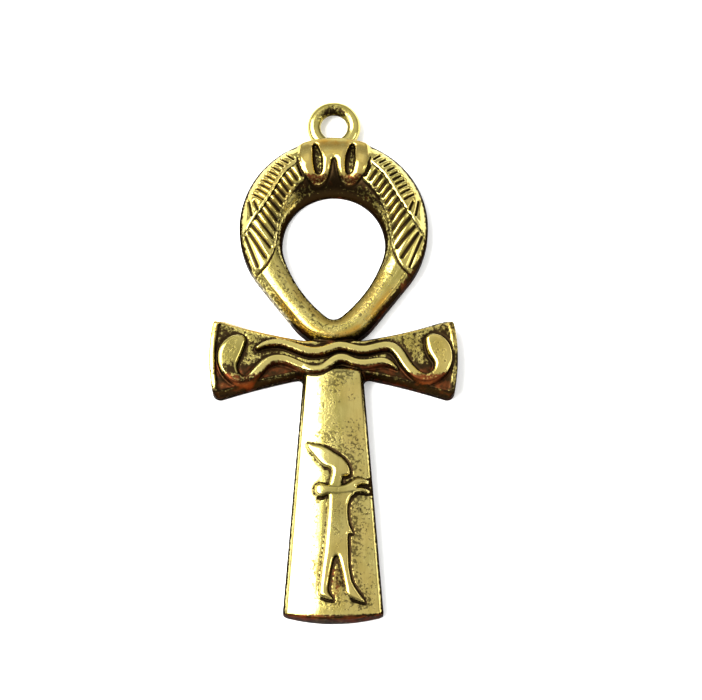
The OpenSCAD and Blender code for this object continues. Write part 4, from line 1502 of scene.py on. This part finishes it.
@dataclass
class HangingRing:
    """The cast-on ring that takes the jump ring: a round wire bent to a circle."""

    rise: float = 29.6
    middle_z: float = 1.3
    hole_r: float = 1.6
    outer_r: float = 3.25
    corners: int = 28
    steps: int = 96

    def form(self) -> NodeForm:
        """Builds the tree.

        Returns:
            The tree, which runs a round profile along a circle and paints shade round the top of its opening.
        """
        form = NodeForm("hanging_ring")
        tree = form.tree
        ring_r, wire_r = form.size("Ring radius"), form.size("Wire radius")
        at = form.size("Place", "NodeSocketVector")
        steps, corners = form.size("Steps", "NodeSocketInt"), form.size("Corners", "NodeSocketInt")
        path = add_node(tree, "GeometryNodeCurvePrimitiveCircle", {"Resolution": steps, "Radius": ring_r})
        wire = add_node(tree, "GeometryNodeCurvePrimitiveCircle", {"Resolution": corners, "Radius": wire_r})
        tube = add_node(tree, "GeometryNodeCurveToMesh", {0: path, 1: wire})
        smooth = add_node(tree, "GeometryNodeSetShadeSmooth", {0: tube})
        # Painted shade darkens the inner side round the top of the opening.
        place = add_node(tree, "GeometryNodeInputPosition")
        spot = add_node(tree, "ShaderNodeSeparateXYZ", {0: place})
        flat = add_node(tree, "ShaderNodeVectorMath", {0: place, 1: (1.0, 1.0, 0.0)}, operation="MULTIPLY")
        far = add_node(tree, "ShaderNodeVectorMath", {0: flat}, operation="LENGTH").outputs["Value"]
        outer_at, inner_at = (add_node(tree, MATH, {0: wire_r, 1: share, 2: ring_r}, operation="MULTIPLY_ADD")
                              for share in (0.45, -0.55))
        inner = add_node(tree, RAMP, {0: far, 1: outer_at, 2: inner_at})
        top = add_node(tree, RAMP, {0: spot.outputs[1], 1: 0.0, 2: ring_r})
        dip = add_node(tree, MATH, {0: inner, 1: top}, operation="MULTIPLY")
        dipped = add_node(tree, "GeometryNodeStoreNamedAttribute", {
            "Geometry": smooth, "Name": Mark.PATINA_AND_SHADE.value, "Value": dip})
        form.close(add_node(tree, "GeometryNodeTransform", {"Geometry": dipped, "Translation": at}))
        return form

    def build(self, crossing: float, finish: bpy.types.Material) -> bpy.types.Object:
        """Builds the ring in its place above the loop.

        Args:
            crossing: the crossing's place along Y in metres.
            finish: the ring's finish.

        Returns:
            The ring.
        """
        mesh = bpy.data.meshes.new("hanging_ring")
        ring = bpy.data.objects.new("hanging_ring", mesh)
        bpy.context.scene.collection.objects.link(ring)
        self.form().run(ring, {
            "Finish": finish, "Ring radius": (self.hole_r + self.outer_r) / 2 * MM,
            "Wire radius": (self.outer_r - self.hole_r) / 2 * MM,
            "Place": (0.0, crossing + self.rise * MM, self.middle_z * MM),
            "Steps": self.steps, "Corners": self.corners,
        })
        return ring


# The finish

@dataclass(frozen=True)
class AntiqueGoldPlate:
    """Gold plate on a zinc casting, dipped dark and rubbed bright again.

    The plate gives a yellow metal shine that turns cream in the light and olive in the shade. The dip
    stays in the grooves, in the sunken fields and as fine specks, brown to nearly black. The same
    colours also serve as painted shade and painted highlights.
    """

    bright: str = "#CDBD76"
    plate: str = "#BFB167"
    olive: str = "#A2964D"
    warm: str = "#C09035"
    toned: str = "#8E8240"
    # Olive used as painted shade that dulls the plate.
    patina: str = "#241A0D"
    # The dip's dark and red-brown, which also serve as painted shade.
    rust: str = "#5E3018"
    roughness: float = 0.155
    bump: float = 0.35
    bump_mm: float = 0.05

    # Soft noises. Columns: size of their blobs in mm, detail, roughness.
    NOISES = {
        "cloud": (1.3, 3.0, 0.55), "speck": (0.17, 4.0, 0.65), "grain": (0.16, 2.0, 0.55),
        "broad": (4.0, 2.0, 0.55), "blot": (0.45, 3.0, 0.6),
    }
    # How close the rubbing marks lie along the band and the stem, and across them.
    LAY = (("grain_u", 0.25), ("grain_v", 2.4))
    # The nodes behind the colours: name, sum, inputs.
    SUMS = (
        # Plate: olive in clouds and rubbing marks, bright on rubbed heights and painted highlights, orange in
        # broken patches.
        ("tone", Sum.MULTIPLY_ADD, "rubbed", 0.8, "cloud"), ("shade", Sum.STEP, "tone", 0.72, 1.10),
        ("shine", Sum.MULTIPLY, "polish", 0.45),
        ("patch", Sum.STEP, "broad", 0.5, 0.68), ("warmth", Sum.MULTIPLY, "patch", 0.18),
        ("broken", Sum.STEP, "cloud", 0.3, 0.55), ("orange", Sum.MULTIPLY, "warm", "broken"),
        # Specks: the dip left in fine pits, thicker where the mark asks.
        ("level", Sum.MULTIPLY_ADD, "speckle", 0.17, "speck"), ("pits", Sum.STEP, "level", 0.60, 0.70),
        ("asked", Sum.STEP, "speckle", 0.02, 0.25), ("pitted", Sum.MULTIPLY, "pits", "asked"),
        ("specks", Sum.MULTIPLY, "pitted", 0.8),
        # Dip in the hollows and painted shade, broken up by the same noise, and all of it in the grooves.
        ("uneven", Sum.SUBTRACT, "speck", 0.5), ("depth", Sum.MULTIPLY_ADD, "uneven", 1.9, "patina"),
        ("deep", Sum.STEP, "depth", 0.15, 0.72), ("stained", Sum.STEP, "patina", 0.02, 0.2),
        ("hollow", Sum.MULTIPLY, "deep", "stained"), ("floor", Sum.STEP, "groove", 0.35, 0.95),
        ("dipped", Sum.MAXIMUM, "specks", "hollow"), ("dark", Sum.MAXIMUM, "dipped", "floor"),
        # The dip is red-brown in blots.
        ("blots", Sum.ADD, "cloud", "blot"), ("ruddy", Sum.MULTIPLY, "rust", 1.2),
        ("redness", Sum.MULTIPLY_ADD, "blots", 1.8, "ruddy"), ("red", Sum.STEP, "redness", 2.2, 3.25),
        # It is rougher than the plate, lies a little lower and takes less of its edge shine.
        ("rough", Sum.MULTIPLY_ADD, "dark", 0.28, "roughness"),
        ("marked", Sum.MULTIPLY_ADD, "rubbed", 0.35, "cloud"),
        ("grained", Sum.MULTIPLY_ADD, "grain", 0.30, "marked"),
        ("relief", Sum.MULTIPLY_ADD, "dark", -0.5, "grained"), ("edge", Sum.MULTIPLY_ADD, "dark", -0.65, 1.0),
    )

    def material(self) -> bpy.types.Material:
        """Builds the material.

        Returns:
            The material.
        """
        finish = bpy.data.materials.new("antique_gold_plate_on_cast_zinc")
        finish.use_nodes = True
        tree = finish.node_tree
        tree.nodes.clear()
        place = add_node(tree, "ShaderNodeTexCoord").outputs["Object"]
        seen = [mark.value for mark in Mark if mark not in (Mark.BARB_OFF, Mark.BARB_ROW)]
        known = {name: add_node(tree, "ShaderNodeAttribute", attribute_name=name).outputs["Fac"]
                 for name in seen + [GROOVE]}
        known["roughness"] = self.roughness
        for name, (size, detail, rough) in self.NOISES.items():
            known[name] = add_node(tree, NOISE, {
                "Vector": place, "Scale": 0.5 / (size * MM), "Detail": detail, "Roughness": rough})
        # Rubbing marks, about 0.2 mm wide and 2 mm long.
        lay = add_node(tree, "ShaderNodeCombineXYZ", {
            k: add_node(tree, MATH, {0: known[name], 1: closeness}, operation="MULTIPLY")
            for k, (name, closeness) in enumerate(self.LAY)})
        known["rubbed"] = add_node(tree, NOISE, {"Vector": lay, "Scale": 1.0, "Detail": 3.0})
        add_nodes(tree, known, self.SUMS)
        colours = {"dip": linear(self.patina), "metal": linear(self.plate)}
        for base, share, colour in (
                ("dip", "red", self.rust), ("metal", "shade", self.olive), ("metal", "shine", self.bright),
                ("metal", "warmth", self.warm), ("metal", "orange", self.warm),
                ("metal", "toned", self.toned)):
            colours[base] = add_node(tree, "ShaderNodeMix", {
                0: known[share], 6: colours[base], 7: linear(colour)}, data_type="RGBA").outputs[2]
        colour = add_node(tree, "ShaderNodeMix", {
            0: known["dark"], 6: colours["metal"], 7: colours["dip"]}, data_type="RGBA").outputs[2]
        tint = add_node(tree, "ShaderNodeCombineColor", {k: known["edge"] for k in range(3)})
        bump = add_node(tree, "ShaderNodeBump", {
            "Strength": self.bump, "Distance": self.bump_mm * MM, "Height": known["relief"]})
        shader = add_node(tree, "ShaderNodeBsdfPrincipled", {
            "Base Color": colour, "Metallic": 1.0, "Roughness": known["rough"], "Specular Tint": tint,
            "Normal": bump})
        add_node(tree, "ShaderNodeOutputMaterial", {0: shader})
        return finish


@dataclass(frozen=True)
class MattPaper:
    """Smooth matt paper: plain and pale, with no shine of its own."""

    tone: str = "#FAFAF8"
    roughness: float = 0.9
    sheen: float = 0.1
    glow: float = 0.2  # a little light of its own keeps the shadows as faint as on a light table

    def material(self) -> bpy.types.Material:
        """Builds the material.

        Returns:
            The material.
        """
        paper = bpy.data.materials.new("matt_white_paper")
        paper.use_nodes = True
        shader = paper.node_tree.nodes["Principled BSDF"]
        for name, value in (("Base Color", linear(self.tone)), ("Roughness", self.roughness),
                            ("Specular IOR Level", self.sheen), ("Emission Color", linear(self.tone)),
                            ("Emission Strength", self.glow)):
            shader.inputs[name].default_value = value
        return paper


# The studio

@dataclass
class SoftLight:
    """A square softbox that faces the pendant: angles in degrees, lengths in metres, power in watts."""

    name: str
    azimuth: float
    elevation: float
    distance: float
    size: float
    power: float
    tint: str = "#FFFFFF"

    def place(self, target: Vector) -> None:
        """Hangs the light and turns it to the target.

        Args:
            target: the place that it faces, in metres.
        """
        data = bpy.data.lights.new(self.name, "AREA")
        data.shape, data.size, data.energy = "SQUARE", self.size, self.power
        data.color = linear(self.tint)[:3]
        lamp = bpy.data.objects.new(self.name, data)
        az, el = math.radians(self.azimuth), math.radians(self.elevation)
        way = Vector((math.sin(az) * math.cos(el), math.cos(az) * math.cos(el), math.sin(el)))
        lamp.location = target + way * self.distance
        lamp.rotation_euler = way.to_track_quat("Z", "Y").to_euler()
        bpy.context.scene.collection.objects.link(lamp)


@dataclass
class Studio:
    """The pale floor, the soft lights and the camera at the photograph's angle."""

    target: tuple[float, float, float] = (2.09, 0.6, 2.0)
    elevation: float = 73.0
    distance: float = 420.0
    focal_px: float = 3515.4
    image_w: int = 702
    sensor: float = 36.0
    floor_size: float = 3.0
    sky: float = 1.0
    horizon: float = 0.45
    near_side: float = 0.42
    clip: tuple[float, float] = (0.02, 20.0)

    LIGHTS = (
        SoftLight("key_softbox", -75.0, 50.0, 0.60, 0.50, 8.5),
        SoftLight("near_left_softbox", -115.0, 58.0, 0.60, 0.24, 2.0),
        SoftLight("right_fill", 95.0, 30.0, 0.80, 0.22, 1.0),
        SoftLight("back_softbox", 0.0, 46.0, 0.70, 0.35, 0.12),
    )

    def floor(self) -> bpy.types.Object:
        """Lays the floor that the pendant rests on.

        Returns:
            The floor.
        """
        half = self.floor_size / 2
        corners = [(-half, -half, 0), (half, -half, 0), (half, half, 0), (-half, half, 0)]
        mesh = bpy.data.meshes.new("studio_floor")
        mesh.from_pydata(corners, [], [(0, 1, 2, 3)])
        floor = bpy.data.objects.new("studio_floor", mesh)
        bpy.context.scene.collection.objects.link(floor)
        floor.data.materials.append(MattPaper().material())
        return floor

    def camera(self) -> None:
        """Sets the camera at the photograph's angle."""
        data = bpy.data.cameras.new("camera")
        data.sensor_fit, data.sensor_width = "HORIZONTAL", self.sensor
        data.lens = self.focal_px / self.image_w * self.sensor
        data.clip_start, data.clip_end = self.clip
        camera = bpy.data.objects.new("camera", data)
        target = Vector(self.target) * MM
        el = math.radians(self.elevation)
        way = Vector((0.0, -math.cos(el), math.sin(el)))
        camera.location = target + way * self.distance * MM
        camera.rotation_euler = (math.radians(90.0 - self.elevation), 0.0, 0.0)
        bpy.context.scene.collection.objects.link(camera)
        bpy.context.scene.camera = camera

    def world(self) -> None:
        """Fills the room with pale light that falls off towards the horizon and towards the camera's side."""
        world = bpy.data.worlds.new("studio")
        world.use_nodes = True
        tree = world.node_tree
        tree.nodes.clear()
        seen = add_node(tree, "ShaderNodeTexCoord").outputs["Generated"]
        way = add_node(tree, "ShaderNodeSeparateXYZ", {0: seen})
        level = add_node(tree, RAMP, {0: way.outputs[2], 1: 0.0, 2: 0.7, 3: self.horizon, 4: self.sky})
        near = add_node(tree, RAMP, {0: way.outputs[1], 1: -0.80, 2: -0.35, 3: self.near_side, 4: 1.0})
        strength = add_node(tree, MATH, {0: level, 1: near}, operation="MULTIPLY")
        sky = add_node(tree, "ShaderNodeBackground", {"Color": linear("#FFFFFF"), "Strength": strength})
        add_node(tree, "ShaderNodeOutputWorld", {0: sky})
        bpy.context.scene.world = world
        bpy.context.scene.view_settings.view_transform = "Standard"

    def build(self) -> bpy.types.Object:
        """Builds the studio.

        Returns:
            Its floor.
        """
        for light in self.LIGHTS:
            light.place(Vector(self.target) * MM)
        self.camera()
        self.world()
        return self.floor()


# The pendant

@dataclass
class AnkhPendant:
    """The pendant: one casting with its hanging ring."""

    stem_len: float = 32.05

    def relief(self) -> Relief:
        """Presses every form into the relief, the lowest first.

        Returns:
            The casting's relief.
        """
        relief = Relief(low=(-15.6, -32.9), high=(15.6, 28.7))
        for form in (LoopBand(), Arms(), Stem(), Wing(), Clasp(), Cobras(), StandingFigure()):
            form.press(relief)
            LOG.info("pressed %s", type(form).__name__)
        relief.settle()
        return relief

    def build(self) -> list[bpy.types.Object]:
        """Builds the pieces in the places that the frame gives.

        Returns:
            The casting and its ring.
        """
        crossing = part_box(NODE)[0][1] + self.stem_len * MM
        finish = AntiqueGoldPlate().material()
        casting = CastingSkin(self.relief()).build("ankh_face", crossing)
        BarbGrooves().cut(casting, finish)
        ring = HangingRing().build(crossing, finish)
        return [casting, ring]


def main() -> None:
    """Builds the pendant and its studio."""
    logging.basicConfig(level=logging.INFO, format="%(name)s: %(message)s")
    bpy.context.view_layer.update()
    for piece in AnkhPendant().build():
        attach(piece, BODY)
        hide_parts(NODE)
        LOG.info("%s has %d triangles", piece.name, sum(len(p.vertices) - 2 for p in piece.data.polygons))
    Studio().build()


if __name__ == "__main__":
    main()
